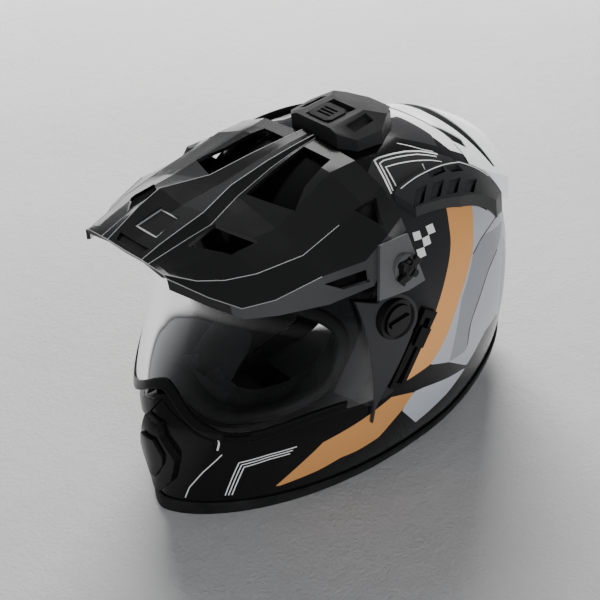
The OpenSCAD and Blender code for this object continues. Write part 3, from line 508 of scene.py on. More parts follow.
def area_field(p, outline):
    """Signed distance from points to a closed outline, positive inside: the least distance to its edges, with
    the sign from how often a level line from the point crosses it."""
    a = np.asarray(outline, float)
    b = np.roll(a, -1, 0)
    e = b - a
    d = p[:, None] - a[None]
    k = np.clip((d * e).sum(-1) / np.maximum((e * e).sum(-1), 1e-9), 0, 1)
    far = np.linalg.norm(d - k[..., None] * e, axis=-1).min(1)
    y = p[:, 1:2]
    slope = np.where(np.abs(e[:, 1]) < 1e-9, 1e-9, e[:, 1])
    crossed = ((a[:, 1] > y) != (b[:, 1] > y)) & (p[:, :1] < e[:, 0] * (y - a[:, 1]) / slope + a[:, 0])
    return np.where(crossed.sum(1) % 2 == 1, far, -far)


def curve(points, n):
    """A smooth line of n points through the given ones (Catmull-Rom)."""
    p = np.asarray(points, float)
    p = np.concatenate([2 * p[:1] - p[1:2], p, 2 * p[-1:] - p[-2:-1]])
    s = np.linspace(0, len(p) - 3 - 1e-9, n)
    i = s.astype(int)
    u = (s - i)[:, None]
    a, b, c, d = p[i], p[i + 1], p[i + 2], p[i + 3]
    return 0.5 * (2 * b + (c - a) * u + (2 * a - 5 * b + 4 * c - d) * u ** 2
                  + (3 * b - a - 3 * c + d) * u ** 3)


def points_of(obj):
    """A mesh's points in millimetres, in helmet coordinates."""
    co = np.empty(3 * len(obj.data.vertices), np.float32)
    obj.data.vertices.foreach_get("co", co)
    return co.reshape(-1, 3) * METRE - (0, SHIFT, 0)


def note(obj, name, values):
    """Stores a value per point for the material to read."""
    layer = obj.data.attributes.new(name, "FLOAT", "POINT")
    layer.data.foreach_set("value", np.asarray(values, np.float32))


# Materials


def opaque(colour, share=1.0):
    """A share of a colour, as red, green, blue and full alpha."""
    return tuple(share * v for v in colour[:3]) + (1,)


class Finish:
    """A node material being built, on the object's own coordinates."""

    def __init__(self, name):
        self.material = bpy.data.materials.new(name + "_finish")
        self.material.use_nodes = True
        self.tree = self.material.node_tree
        self.tree.nodes.clear()
        self.place = self.add("ShaderNodeTexCoord").outputs["Object"]

    def add(self, kind, inputs=None, **props):
        """Makes a node, sets its properties, and links or sets its inputs."""
        node = self.tree.nodes.new(kind)
        for key, value in props.items():
            setattr(node, key, value)
        for key, value in (inputs or {}).items():
            socket = node.inputs[key]
            if isinstance(value, bpy.types.NodeSocket):
                self.tree.links.new(value, socket)
            else:
                socket.default_value = value
        return node

    def noise(self, scale, detail=3.0, rough=0.5):
        """Cloudy noise, 0 to 1."""
        return self.add("ShaderNodeTexNoise", {"Vector": self.place, "Scale": scale, "Detail": detail,
                                               "Roughness": rough}).outputs["Fac"]

    def cells(self, scale, feature="F1"):
        """Distances in a pattern of cells."""
        return self.add("ShaderNodeTexVoronoi", {"Vector": self.place, "Scale": scale},
                        feature=feature).outputs["Distance"]

    def bands(self, scale, direction, distortion=0.0):
        """Even bands across one direction, 0 to 1."""
        return self.add("ShaderNodeTexWave", {"Vector": self.place, "Scale": scale, "Distortion": distortion},
                        bands_direction=direction).outputs["Fac"]

    def scaled(self, value, low, high, start=0.0, end=1.0):
        """A value from start to end as one from low to high, held at both ends."""
        return self.add("ShaderNodeMapRange", {"Value": value, "From Min": start, "From Max": end,
                                               "To Min": low, "To Max": high}).outputs["Result"]

    def drift(self, low, high, *cloud):
        """Cloudy patches between two values."""
        return self.scaled(self.noise(*cloud), low, high, 0.3, 0.7)

    def worn(self, colour, scale, least):
        """A colour that falls to a share of itself in patches."""
        return self.blend(self.drift(0.0, 1.0, scale, 4.0), opaque(colour, least), colour)

    def math(self, kind, a, b):
        """One sum on two values."""
        return self.add("ShaderNodeMath", {0: a, 1: b}, operation=kind).outputs[0]

    def blend(self, share, a, b):
        """Colour a at a share of 0 and colour b at 1."""
        return self.add("ShaderNodeMix", {0: share, 6: a, 7: b}, data_type="RGBA").outputs[2]

    def mark(self, name, edge=0.12):
        """A stored distance as a share: 0 outside the outline and 1 inside."""
        read = self.add("ShaderNodeAttribute", attribute_name=name).outputs["Fac"]
        return self.scaled(read, 0.0, 1.0, -edge, edge)

    def bump(self, height, strength, distance, under=None):
        """A relief for the Normal socket, over another one if given."""
        inputs = {"Height": height, "Strength": strength, "Distance": distance}
        if under is not None:
            inputs["Normal"] = under
        return self.add("ShaderNodeBump", inputs).outputs["Normal"]

    def shader(self, **inputs):
        """The main surface shader; an underscore in a name stands for a space."""
        named = {key.replace("_", " "): value for key, value in inputs.items()}
        return self.add("ShaderNodeBsdfPrincipled", named).outputs["BSDF"]

    def done(self, surface):
        """Ends the material with its output."""
        self.add("ShaderNodeOutputMaterial", {"Surface": surface})
        return self.material


def rgb(r, g, b):
    """A colour given as 0 to 255 in sRGB, as linear light."""
    c = np.array([r, g, b]) / 255
    return tuple(np.where(c <= 0.04045, c / 12.92, ((c + 0.055) / 1.055) ** 2.4)) + (1.0,)


def gloss_paint(name, colour, rough=0.2, coat=0.6, fleck=0.0, shine=0.5):
    """Moulded plastic under clear coat: faint orange peel, and dust that dulls it in patches."""
    f = Finish(name)
    peel = f.bump(f.noise(420.0, 2.0), 0.05, 0.0004)
    wear = f.drift(rough * 0.8, rough * 1.35, 22.0, 5.0, 0.6)
    tone = f.worn(colour, 9.0, 0.85)
    return f.done(f.shader(Base_Color=tone, Roughness=wear, Metallic=fleck, Specular_IOR_Level=shine,
                           Coat_Weight=coat, Coat_Roughness=0.05, Normal=peel))


def matt_plastic(name, colour, rough=0.45, grain=0.25, shine=0.22):
    """Moulded plastic with a fine eroded grain."""
    f = Finish(name)
    skin_grain = f.bump(f.cells(1500.0), grain, 0.0002, f.bump(f.noise(300.0, 4.0), 0.12, 0.0003))
    wear = f.drift(rough * 0.85, rough * 1.2, 30.0, 5.0, 0.6)
    tone = f.worn(colour, 14.0, 0.8)
    return f.done(f.shader(Base_Color=tone, Roughness=wear, Specular_IOR_Level=shine, Normal=skin_grain))


def rubber(name):
    """Dull extruded rubber with a little bloom."""
    f = Finish(name)
    tone = f.blend(f.scaled(f.noise(40.0, 6.0, 0.7), 0.0, 1.0, 0.35, 0.75), (0.006, 0.006, 0.006, 1),
                   (0.016, 0.016, 0.017, 1))
    ridges = f.bump(f.noise(700.0, 3.0), 0.3, 0.0003)
    return f.done(f.shader(Base_Color=tone, Roughness=f.drift(0.5, 0.7, 60.0, 4.0),
                           Specular_IOR_Level=0.2, Normal=ridges))


def knit(name, colour, scale=420.0):
    """Knitted cloth: crossed rows of stitches, with soft fuzz over them."""
    f = Finish(name)
    rows = f.math("MULTIPLY", f.bands(scale, "DIAGONAL", 2.0), f.bands(scale, "Z", 2.0))
    tone = f.blend(f.scaled(rows, 0.0, 1.0), opaque(colour, 0.5), colour)
    tone = f.blend(f.scaled(f.noise(18.0, 4.0), 0.0, 0.5, 0.35, 0.7), tone, (0.035, 0.035, 0.038, 1))
    lie = f.bump(rows, 0.6, 0.0005, f.bump(f.noise(60.0, 4.0), 0.25, 0.0015))
    return f.done(f.shader(Base_Color=tone, Roughness=f.scaled(rows, 0.75, 0.95), Sheen_Weight=0.05,
                           Sheen_Roughness=0.5, Specular_IOR_Level=0.15, Normal=lie))


def open_mesh(name, colour):
    """Air mesh cloth: a net of small round holes."""
    f = Finish(name)
    holes = f.cells(520.0)
    tone = f.blend(f.scaled(holes, 0.0, 1.0, 0.2, 0.5), (0.002, 0.002, 0.002, 1), colour)
    lie = f.bump(holes, 0.7, 0.0006, f.bump(f.noise(50.0, 4.0), 0.3, 0.002))
    return f.done(f.shader(Base_Color=tone, Roughness=f.drift(0.75, 0.95, 40.0, 3.0),
                           Sheen_Weight=0.04, Specular_IOR_Level=0.15, Normal=lie))


def webbing(name):
    """Woven strap: close ribs across it and a herringbone along it."""
    f = Finish(name)
    ribs = f.math("MULTIPLY", f.bands(300.0, "X"), f.bands(260.0, "Y"))
    tone = f.blend(f.scaled(ribs, 0.0, 1.0), (0.004, 0.004, 0.004, 1), (0.02, 0.02, 0.021, 1))
    return f.done(f.shader(Base_Color=tone, Roughness=f.drift(0.65, 0.85, 90.0, 3.0),
                           Sheen_Weight=0.06, Specular_IOR_Level=0.2, Normal=f.bump(ribs, 0.8, 0.0006)))


def beads(name):
    """Moulded foam: pressed beads with dark seams between them."""
    f = Finish(name)
    seams = f.cells(330.0, "DISTANCE_TO_EDGE")
    tone = f.blend(f.scaled(seams, 0.0, 1.0, 0.0, 0.12), (0.006, 0.006, 0.006, 1), (0.02, 0.02, 0.021, 1))
    lie = f.bump(f.scaled(seams, 0.0, 1.0, 0.0, 0.2), 0.5, 0.0004)
    return f.done(f.shader(Base_Color=tone, Roughness=f.drift(0.7, 0.9, 80.0, 4.0), Normal=lie))


def metal(name, colour, rough=0.28):
    """Plated steel with fine scratches."""
    f = Finish(name)
    scratch = f.bump(f.noise(900.0, 6.0, 0.8), 0.15, 0.0002)
    wear = f.drift(rough * 0.7, rough * 1.5, 120.0, 6.0, 0.7)
    tone = f.worn(colour, 30.0, 0.8)
    return f.done(f.shader(Base_Color=tone, Metallic=1.0, Roughness=wear, Normal=scratch))


def clear_sheet(name, tint, gloss, haze=0.02, index=1.45):
    """Clear moulded sheet with a hard coat: what lies behind shows through its tint, and each outward face
    mirrors by the Fresnel law, raised towards the grazing angles."""
    f = Finish(name)
    film = f.scaled(f.noise(35.0, 5.0, 0.6), haze, haze * 2.5, 0.4, 0.8)
    ripple = f.bump(f.noise(26.0, 1.0), 0.03, 0.0006)
    shine = f.add("ShaderNodeBsdfGlossy", {"Color": gloss, "Roughness": film,
                                           "Normal": ripple}).outputs["BSDF"]
    through = f.add("ShaderNodeBsdfTransparent", {"Color": tint}).outputs["BSDF"]
    fresnel = f.add("ShaderNodeFresnel", {"IOR": index, "Normal": ripple}).outputs["Fac"]
    edge = f.scaled(fresnel, 0.004, 1.0, 0.034, 0.085)
    outer = f.math("SUBTRACT", 1.0, f.add("ShaderNodeNewGeometry").outputs["Backfacing"])
    share = f.math("MULTIPLY", edge, outer)
    return f.done(f.add("ShaderNodeMixShader", {0: share, 1: through, 2: shine}).outputs["Shader"])


def shell_paint(name):
    """The shell's paint: gloss black, with a matt charcoal panel, an orange sweep and blue-grey and white
    fields, a painted reflection on the crown, painted shade along the rear folds and black painted shade
    under the side vents' slots, each cut out along the line where its stored distance is 0."""
    s = bpy.context.scene.helmet_paint
    f = Finish(name)
    tone = f.blend(f.drift(0.0, 1.0, 6.0, 4.0), (0.003, 0.003, 0.0033, 1), (0.005, 0.005, 0.0055, 1))
    haze = f.drift(0.10, 0.18, 24.0, 5.0, 0.6)
    drift = f.drift(0.0, 1.0, 8.0, 4.0)
    for mark, colour, dull in (
            # The light field on the crown is a painted reflection of the window on the gloss black.
            ("crown_reflection", opaque(s.white), 0.16), ("crown_grey", opaque(s.crown), 0.22),
            # The darker rear field, the grey at 0.62, is painted shade along the rear folds.
            ("rear_grey", opaque(s.grey), 0.22), ("rear_fold_shade", opaque(s.grey, 0.62), 0.22),
            ("panel", opaque(s.charcoal), 0.42), ("orange", opaque(s.orange), 0.24),
            ("orange_low", opaque(s.orange, 0.8), 0.24), ("grey_low", opaque(s.grey), 0.24),
            ("wedge", (0.006, 0.006, 0.007, 1), 0.14), ("white", opaque(s.white), 0.2),
            # The black field under the side vent band is painted shade seen through its slots.
            ("slot_shade", (0.003, 0.003, 0.003, 1), 0.5)):
        share = f.mark(mark)
        dim = f.blend(drift, opaque(colour, 0.92), colour)
        tone = f.blend(share, tone, dim)
        rest = f.math("MULTIPLY", haze, f.math("SUBTRACT", 1.0, share))
        haze = f.math("ADD", rest, f.math("MULTIPLY", share, dull))
    peel = f.bump(f.noise(420.0, 2.0), 0.04, 0.0004)
    return f.done(f.shader(Base_Color=tone, Roughness=haze, Specular_IOR_Level=0.14, Coat_Weight=0.05,
                           Coat_Roughness=0.06, Normal=peel))


def peak_paint(name):
    """The peak's black paint, dulled by a fine grain, over a grey skirt."""
    f = Finish(name)
    share = f.mark("skirt", 0.2)
    drift = f.drift(0.0, 1.0, 14.0, 4.0)
    black = f.blend(drift, (0.0045, 0.0045, 0.0047, 1), (0.0065, 0.0065, 0.0068, 1))
    grey = f.blend(drift, (0.032, 0.032, 0.034, 1), (0.042, 0.042, 0.044, 1))
    wear = f.drift(0.14, 0.24, 30.0, 5.0, 0.6)
    grain = f.bump(f.noise(420.0, 2.0), 0.05, 0.0004)
    return f.done(f.shader(Base_Color=f.blend(share, black, grey), Roughness=wear, Specular_IOR_Level=0.3,
                           Coat_Weight=0.12, Coat_Roughness=0.08, Normal=grain))


def floor_paint(name, s):
    """Pale floor covering with a fine pile and faint cloudy wear."""
    f = Finish(name)
    tone = f.blend(f.drift(0.0, 1.0, 5.0, 5.0, 0.6), opaque(s.floor, 0.92), opaque(s.floor))
    pile = f.bump(f.noise(260.0, 6.0, 0.7), 0.5, 0.003, f.bump(f.noise(60.0, 3.0), 0.25, 0.004))
    return f.done(f.shader(Base_Color=tone, Roughness=f.drift(0.8, 0.95, 12.0, 3.0), Normal=pile))


# How each finish is made: a function, and what it is given after the finish's name
FINISHES = {
    "shell_paint": (shell_paint,),
    "gloss_black": (gloss_paint, (0.003, 0.003, 0.0033, 1), 0.22, 0.08, 0.0, 0.15),
    "peak_paint": (peak_paint,),
    "hood_charcoal": (matt_plastic, (0.018, 0.018, 0.019, 1), 0.42),
    # The white and grey line finishes also serve the painted highlights on the side vent band and the peak's
    # creases.
    "line_white": (gloss_paint, rgb(222, 222, 222), 0.3, 0.3),
    "line_grey": (gloss_paint, rgb(150, 150, 152), 0.3, 0.2),
    "spoiler_white": (gloss_paint, rgb(236, 237, 239), 0.25, 0.3, 0.05),
    "vent_grey": (matt_plastic, (0.022, 0.0225, 0.0235, 1), 0.4),
    "arm_grey": (matt_plastic, (0.10, 0.101, 0.105, 1), 0.4),
    "side_grey": (matt_plastic, (0.03, 0.03, 0.0315, 1), 0.38),
    "matte_black": (matt_plastic, (0.0055, 0.0055, 0.0058, 1), 0.5),
    "seal_rubber": (rubber,),
    "liner_foam": (beads,),
    "pad_cloth": (knit, (0.016, 0.016, 0.018, 1)),
    "mesh_cloth": (open_mesh, (0.02, 0.02, 0.022, 1)),
    "strap_web": (webbing,),
    "bare_metal": (metal, (0.55, 0.55, 0.56, 1)),
    "dark_metal": (metal, (0.08, 0.08, 0.085, 1), 0.35),
    "shield_clear": (clear_sheet, (0.985, 0.988, 0.99, 1), (1, 1, 1, 1)),
    "visor_smoke": (clear_sheet, (0.16, 0.16, 0.18, 1), (0.9, 0.9, 0.95, 1), 0.03),
}


def finish_of(name):
    """The named material, made once; the record's own plain materials keep the slots' names."""
    make, *values = FINISHES[name]
    return bpy.data.materials.get(name + "_finish") or make(name, *values)


def dress(obj, body, slot, nodes=(), finish=None):
    """Gives a piece its material, named by the finish or else by its slot, the body it moves with, and hides
    the CAD nodes it stands for.
    """
    obj.data.materials.clear()
    obj.data.materials.append(finish_of(finish or slot))
    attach(obj, body)
    if nodes:
        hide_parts(*nodes)


def keep(node, finish, edge=0.0):
    """Shows a CAD node as it is, with a better material and, if asked, fine rounded edges."""
    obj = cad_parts[node]
    obj.data.materials.clear()
    obj.data.materials.append(finish_of(finish))
    if edge:
        round_edges(obj, edge, 40)


# Settings


class HelmetForm(bpy.types.PropertyGroup):
    """How finely the soft pieces are drawn."""

    render_levels: IntProperty(name="Render Levels", description="Subdivisions of the padded pieces",
                               default=1, min=0, max=2)


class HelmetPaint(bpy.types.PropertyGroup):
    """Colours of the shell's fields."""

    orange: FloatVectorProperty(name="Orange", description="Colour of the sweep", subtype="COLOR",
                                default=(0.64, 0.30, 0.10))
    grey: FloatVectorProperty(name="Grey", description="Colour of the rear fields", subtype="COLOR",
                              default=(0.38, 0.40, 0.435))
    charcoal: FloatVectorProperty(name="Charcoal", description="Colour of the matt panel", subtype="COLOR",
                                  default=(0.02, 0.02, 0.021))
    # Also the colour of the painted reflection on the crown.
    white: FloatVectorProperty(name="White", description="Colour of the light fields", subtype="COLOR",
                               default=(0.68, 0.68, 0.69))
    crown: FloatVectorProperty(name="Crown", description="Colour of the crown's dark fields", subtype="COLOR",
                               default=(0.022, 0.022, 0.023))


class HelmetPads(bpy.types.PropertyGroup):
    """How the cloth pads fill out."""

    pressure: FloatProperty(name="Pressure", description="Pressure inside the pads", default=4.0,
                            min=0.0, max=12.0)
    frames: IntProperty(name="Frames", description="Length of the cloth simulation", default=20,
                        min=1, max=60)
    limit: FloatProperty(name="Limit", description="How far the cloth may move", default=0.004,
                         min=0.0, max=0.01, unit="LENGTH", subtype="DISTANCE")


class HelmetStage(bpy.types.PropertyGroup):
    """Floor, camera and light."""

    floor: FloatVectorProperty(name="Floor", description="Colour of the floor", subtype="COLOR",
                               default=(0.42, 0.42, 0.425))
    azimuth: FloatProperty(name="Azimuth",
                           description="Angle of the camera from the front to the wearer's left",
                           default=math.radians(52.039), subtype="ANGLE", unit="ROTATION")
    elevation: FloatProperty(name="Elevation", description="Angle of the camera over the floor",
                             default=math.radians(35.144), subtype="ANGLE", unit="ROTATION")
    roll: FloatProperty(name="Roll", description="Tilt of the camera", default=math.radians(-6.689),
                        subtype="ANGLE", unit="ROTATION")
    distance: FloatProperty(name="Distance", description="From the camera to its target", default=1.26695,
                            subtype="DISTANCE", unit="LENGTH")
    lens: FloatProperty(name="Lens", description="Focal length of the camera in millimetres", default=95.65)
    sky: FloatProperty(name="Sky", description="Strength of the even light from all round", default=0.5)
    window: FloatProperty(name="Window", description="Power of the window light behind the helmet",
                          default=190.0)
    fill: FloatProperty(name="Fill", description="Power of the fill light from the side", default=44.0)
    rim: FloatProperty(name="Rim", description="Power of the light that draws the edges", default=14.0)


# Shell


def shell_solid(name, out, inn):
    """The shell between two offsets of the form, sunk at the field: rows from the rim over the step to the
    eye port's lower edge, and from its upper edge to the crown; beside the port the two sets of rows
    meet."""
    cols = columns()
    n = len(cols)
    inside = off_nose(cols) < PORT_ANGLE - 0.01
    t = cols[None]
    r = np.concatenate([np.linspace(0, 4, 23), np.linspace(4, 5, 8)[1:], np.linspace(5, 8, 17)[1:]])[:, None]
    zl = row_z(r, t)
    zh = mix(port_upper(t), SHELL_H, np.sin(0.5 * np.pi * np.linspace(0, 1, 71)[:-1, None]))

    def face(o):
        """Points of both sets of rows and of the crown, moved out by o."""
        return np.concatenate([skin(t, zl, o - sink(t, zl)).reshape(-1, 3),
                               skin(t, zh, o - sink(t, zh)).reshape(-1, 3), [[0, 0, SHELL_H + o]]])

    lo = np.arange(len(zl) * n).reshape(-1, n)
    hi = lo.size + np.arange(len(zh) * n).reshape(-1, n)
    m = lo.size + hi.size + 1
    hi[0, ~inside] = lo[-1, ~inside]
    lo, hi = (np.concatenate([a, a[:, :1]], 1) for a in (lo, hi))
    quads = np.concatenate([np.stack([a[:-1, :-1], a[:-1, 1:], a[1:, 1:], a[1:, :-1]], -1).reshape(-1, 4)
                            for a in (lo, hi)])
    fan = np.stack([hi[-1, :-1], hi[-1, 1:], np.full(n, m - 1)], -1)
    near = inside | np.roll(inside, -1)
    rim = strip(lo[0], lo[0] + m)
    lip = np.concatenate([strip(a, a + m)[near] for a in (lo[-1], hi[0])])
    return piece(name, np.concatenate([face(out), face(inn)]),
                 [quads, quads[:, ::-1] + m, fan, fan[:, ::-1] + m, rim, lip], 50.0)


def paint_fields(obj):
    """Stores, for each painted field, every point's signed distance to its outline, seen from the side or
    from above. The outlines are the same on both sides of the helmet."""
    p = points_of(obj)
    side, plan = p[:, 1:], np.stack([np.abs(p[:, 0]), p[:, 1]], -1)
    high = p[:, 2] > CROWN_Z
    over = high & (plan[:, 0] < SPOILER_HALF)

    def beside(outline):
        """Distances to an outline seen from the side."""
        return area_field(side, outline)

    def above(outline):
        """Distances to an outline seen from above."""
        return area_field(plan, outline)

    front_edge = curve([(52, 222), (46, 208), (41, 200), (33, 186), (16, 165), (-6, 136), (-26, 108),
                        (-44, 91)], 60)
    back_edge = curve([(-5, 100), (11, 116), (30, 144), (43, 159), (56, 172), (66, 186), (76, 198),
                       (90, 224)], 60)
    panel = np.concatenate([front_edge, [(-62, 88), (-84, 108), (-62, 150), (-34, 190), (-12, 222)]])
    panel_top = above([(50, 19), (51, 34), (54, 58), (66, 88), (90, 84), (120, 40), (130, -20), (88, -40)])
    rear = np.concatenate([back_edge, [(185, 224), (185, 60), (120, 60), (92, 84), (69, 84), (46, 64),
                                       (18, 88)]])
    fields = {
        "orange": np.where(over, -9, beside(np.concatenate([front_edge, back_edge]))),
        "panel": np.maximum(beside(panel), np.where(high, panel_top, -50)),
        "wedge": beside([(-46, 91), (-35, 97), (-5, 100), (18, 88), (46, 64), (21, 70), (-9, 82), (-35, 88)]),
        "orange_low": beside([(-128, 21), (-96, 64), (-67, 76), (-42, 88), (-20, 80), (-30, 65), (-40, 54),
                              (-47, 44), (-65, 38), (-80, 37), (-95, 30)]),
        "grey_low": beside([(-20, 80), (-9, 78), (22, 68), (46, 62), (27, 46), (6, 38), (-8, 34), (-30, 65)]),
        "rear_grey": np.where(over, -9, beside(rear)),
        # Darker grey bands along the rear folds: painted shade of the folds, which the form does not have.
        "rear_fold_shade": np.maximum(
            beside([(119, 158), (75, 173), (55, 169), (32, 142), (25, 118), (18, 88), (41, 85), (45, 114),
                    (70, 142), (92, 150)]),
            beside([(104, 55), (97, 105), (101, 128), (112, 148), (140, 92), (122, 60)])),
        "white": beside([(100, 196), (112, 186), (134, 172), (136, 150), (113, 170), (97, 188)]),
        # A white field on the crown's rear: a painted reflection of the window on the gloss black.
        "crown_reflection": np.where(p[:, 2] > CROWN_Z + 10, above(
            [(-1, 56), (12, 56), (7, 88), (40, 90), (58, 94), (62, 130), (-1, 150)]), -9),
        "crown_grey": np.where(high, above(
            [(16, 43), (25, 43), (42.6, 62), (54.7, 84), (40, 92), (7, 88)]), -9),
        # Black under the side vent band, so its slots look dark inside: painted shade.
        "slot_shade": np.where(p[:, 2] > BAND_LOW, above(
            [(84, 17), (82, 32), (79, 62), (78, 92), (88, 96), (98, 92), (98.5, 60), (98.5, 17)]), -9)}
    for name, values in fields.items():
        note(obj, name, values)


def build_shell():
    """The shell: a layer of the form, cut flat where the pivots and the peak's bosses sit, with the chin's
    window."""
    obj = shell_solid("shell", 0.0, -SHELL_T)
    cuts = []
    for side in (1, -1):
        for r, y, z, x in ((HUB_R + 1.5, PIVOT_Y, PIVOT_Z, SEAT_X), (BOSS_R + 1, ARM_Y, ARM_Z, BOSS_X)):
            cuts.append(prism(circle(y, z, r, 72), "x", *sorted((side * x, side * (x + 30)))))
    cuts.append(prism([(-8, 72), (8, 72), (10, 50), (0, 44), (-10, 50)], "y", -200, -140))
    obj = carve(obj, merge("cutter", *cuts), angle=40.0)
    paint_fields(obj)
    dress(obj, "helmet", "shell_orange", ["outer_shell"], "shell_paint")
    keep("foam_liner", "liner_foam")


def both_sides(name, build):
    """One mesh of pieces for the left side and the same ones mirrored to the right."""
    return merge(name, *build(), *[flip(obj, -1) for obj in build()])


def build_lines():
    """The wing panels beside the chin vent, and the thin painted lines and squares: three pinstripes round
    the panel over the side vent, a white line along its band's top edge that is a painted highlight, three
    more on the chin, chequered squares behind the arm, and fine dark lines of painted shade along the
    shell's folds."""
    def pale():
        """The pinstripes, the chequered squares, and a white line along the side vent band's top edge, a
        painted highlight.
        """
        parts = [ribbon(spaced(path), "above", width) for path, width in (
            ([(79.9, 8.7), (67.4, 13.5), (51.6, 19.4), (50.9, 24.2), (52.2, 36), (54.2, 50), (57.6, 63.5),
              (62.4, 75.9)], 1.5),
            ([(78.8, 11.6), (67.5, 16.2), (55.8, 20.9), (54.9, 26), (56.6, 39), (59.4, 57),
              (64.4, 72.5)], 1.1),
            ([(76.9, 16.8), (69, 19.4), (60.7, 22.3), (62, 34), (64.2, 49), (67.2, 65), (69.3, 73)], 1.0),
            ([(68.3, 53.3), (73.3, 51.1)], 0.6), ([(44, 51), (50, 58.5), (56, 66), (59.5, 74)], 0.7))]
        # Painted highlight: a white line on the side vent band's upper edge, where its raised edge catches
        # the light.
        edge = spaced([(84.8, 14), (82.2, 32), (79.2, 62), (77.6, 84), (82.4, 111)])
        parts.append(ribbon(edge, "above", 0.7, o=BAND_H))
        parts += [ribbon(spaced(path), "side", width) for path, width in (
            ([(-158.3, 19), (-149.6, 55), (-131.6, 62), (-114.6, 66)], 0.9),
            ([(-156.4, 19), (-148.2, 52.4), (-131.6, 59.3), (-117.1, 62.6)], 0.9),
            ([(-154.4, 19), (-146.8, 49.8), (-131.6, 56.4), (-118.8, 59.4)], 0.9),
            ([(-158.4, 64), (-168.2, 44), (-176, 26), (-179, 15)], 0.8),
            ([(-158.9, 80), (-160.5, 68.5)], 1.4))]
        return parts + [tile(c, "side") for c in (
            [(4.6, 208.4), (11.4, 207.2), (9.9, 202.3), (3, 203.4)],
            [(18.4, 207.3), (25.6, 206.4), (24.6, 200.9), (17.4, 202)],
            [(10.2, 202.3), (17.3, 201.9), (16, 196.4), (8.5, 197)],
            [(0.9, 198.1), (8.3, 196.9), (7.4, 191.4), (-0.3, 192.1)])]

    def dark():
        """Dark lines along the folds of the rear fields: painted shade of the folds."""
        return [ribbon(path, "side", width) for path, width in (
            (curve([(112, 168.2), (92, 172.2), (71.2, 172.8), (55, 169)], 40), 0.7),
            (curve([(92, 150), (70, 142), (45, 114), (41, 90)], 50), 0.5))]

    def wing():
        """The wing panel beside the chin vent."""
        return [soften(tile([(1, 100), (46, 81), (46.6, 67.5), (13.5, 82)], "front", 1.1, 24), 0.5)]

    dress(both_sides("chin_wings", wing), "helmet", "gloss_black")
    dress(both_sides("shell_pinstripes_and_highlight", pale), "helmet", "spoiler_white", finish="line_white")
    dress(both_sides("shell_fold_shade_lines", dark), "helmet", "gloss_black")


def build_seal():
    """The eye port's seal and the rim's trim: rubber sections swept along the port's edge and the rim."""
    cols = columns()
    port = cols[off_nose(cols) <= PORT_ANGLE]
    port = np.sort(np.where(port > 180, port - 360, port))
    t = np.concatenate([port, port[-2:0:-1]])
    z = np.concatenate([port_lower(port), port_upper(port)[-2:0:-1]])
    per = math.pi * SHELL_W / 360
    d = np.stack([(np.roll(t, -1) - np.roll(t, 1)) * per, np.roll(z, -1) - np.roll(z, 1)], -1)
    o = np.stack([d[:, 1], -d[:, 0]], -1) / np.linalg.norm(d, axis=1, keepdims=True)
    lip = np.concatenate([[(-2.5, -SHELL_T), (-0.4, -SHELL_T), (-0.4, LIFT)], curve(
        [(SEAL_W - 0.6, LIFT + 0.2), (SEAL_W, 1.6), (SEAL_W - 1, 3.8), (4, 5.3), (1.5, 6), (-1.2, 5.6),
         (-2.5, 4)], 18)])
    tt = t[:, None] + o[:, :1] * lip[None, :, 0] / per
    zz = z[:, None] + o[:, 1:] * lip[None, :, 0]
    dress(rings("eye_port_seal", skin(tt, zz, lip[None, :, 1] - FIELD_DEPTH), angle=50),
          "helmet", "seal_rubber", ["port_seal"])
    trim = np.concatenate([curve([(1, -0.6), (2.5, 0.6), (2.8, 3), (2.8, 6), (2.7, 9), (2.1, 11.3), (0.9, 12),
                                  (GAP, 11.6)], 24),
                           [(GAP, 5.7), (-4.3, 5.7), (-4.3, 11.6)],
                           curve([(-5, 12), (-6.8, 11), (-7.9, 6), (-8, 2), (-6, -0.6)], 12)])
    rim = rim_z(cols)[:, None]
    p = skin(cols[:, None], rim + np.maximum(0, trim[None, :, 1]), trim[None, :, 0])
    p[..., 2] = np.maximum(rim + trim[None, :, 1], 0.0)
    dress(rings("rim_edge_trim", p, angle=50), "helmet", "seal_rubber", ["rim_trim"])


# Vents


def build_chin_vent():
    """The chin vent: a housing and its shutter, each a raised patch of the nose kept inside a pointed
    outline, with a stepped face, and a grille behind the window."""
    outline = [(-9, 88), (9, 88), (11, 79), (21, 57), (14.5, 34), (4, 21.5), (-4, 21.5), (-14.5, 34),
               (-21, 57), (-11, 79)]
    body = patch("chin_vent", -118, -62, 14, 94, 7, LIFT, 90, 90)
    body = carve(body, prism(outline, "y", *AHEAD), how="INTERSECT")
    body = carve(body, prism([(-7, 74), (7, 74), (9, 52), (0, 46), (-9, 52)], "y", *AHEAD))
    dress(soften(body, 1.2, 3), "helmet", "gloss_black", ["chin_vent_housing"])
    outline = [(-7.5, 76), (7.5, 76), (14, 60), (12.5, 52), (3, 37), (-3, 37), (-12.5, 52), (-14, 60)]
    blind = patch("chin_shutter", -110, -70, 32, 80, 10.1, 7.6, 90, 80)
    blind = carve(blind, prism(outline, "y", *AHEAD), how="INTERSECT")
    dress(soften(blind, 0.7), "chin_vent_shutter", "gloss_black", ["chin_vent_shutter"])
    keep("mouth_grille", "matte_black")


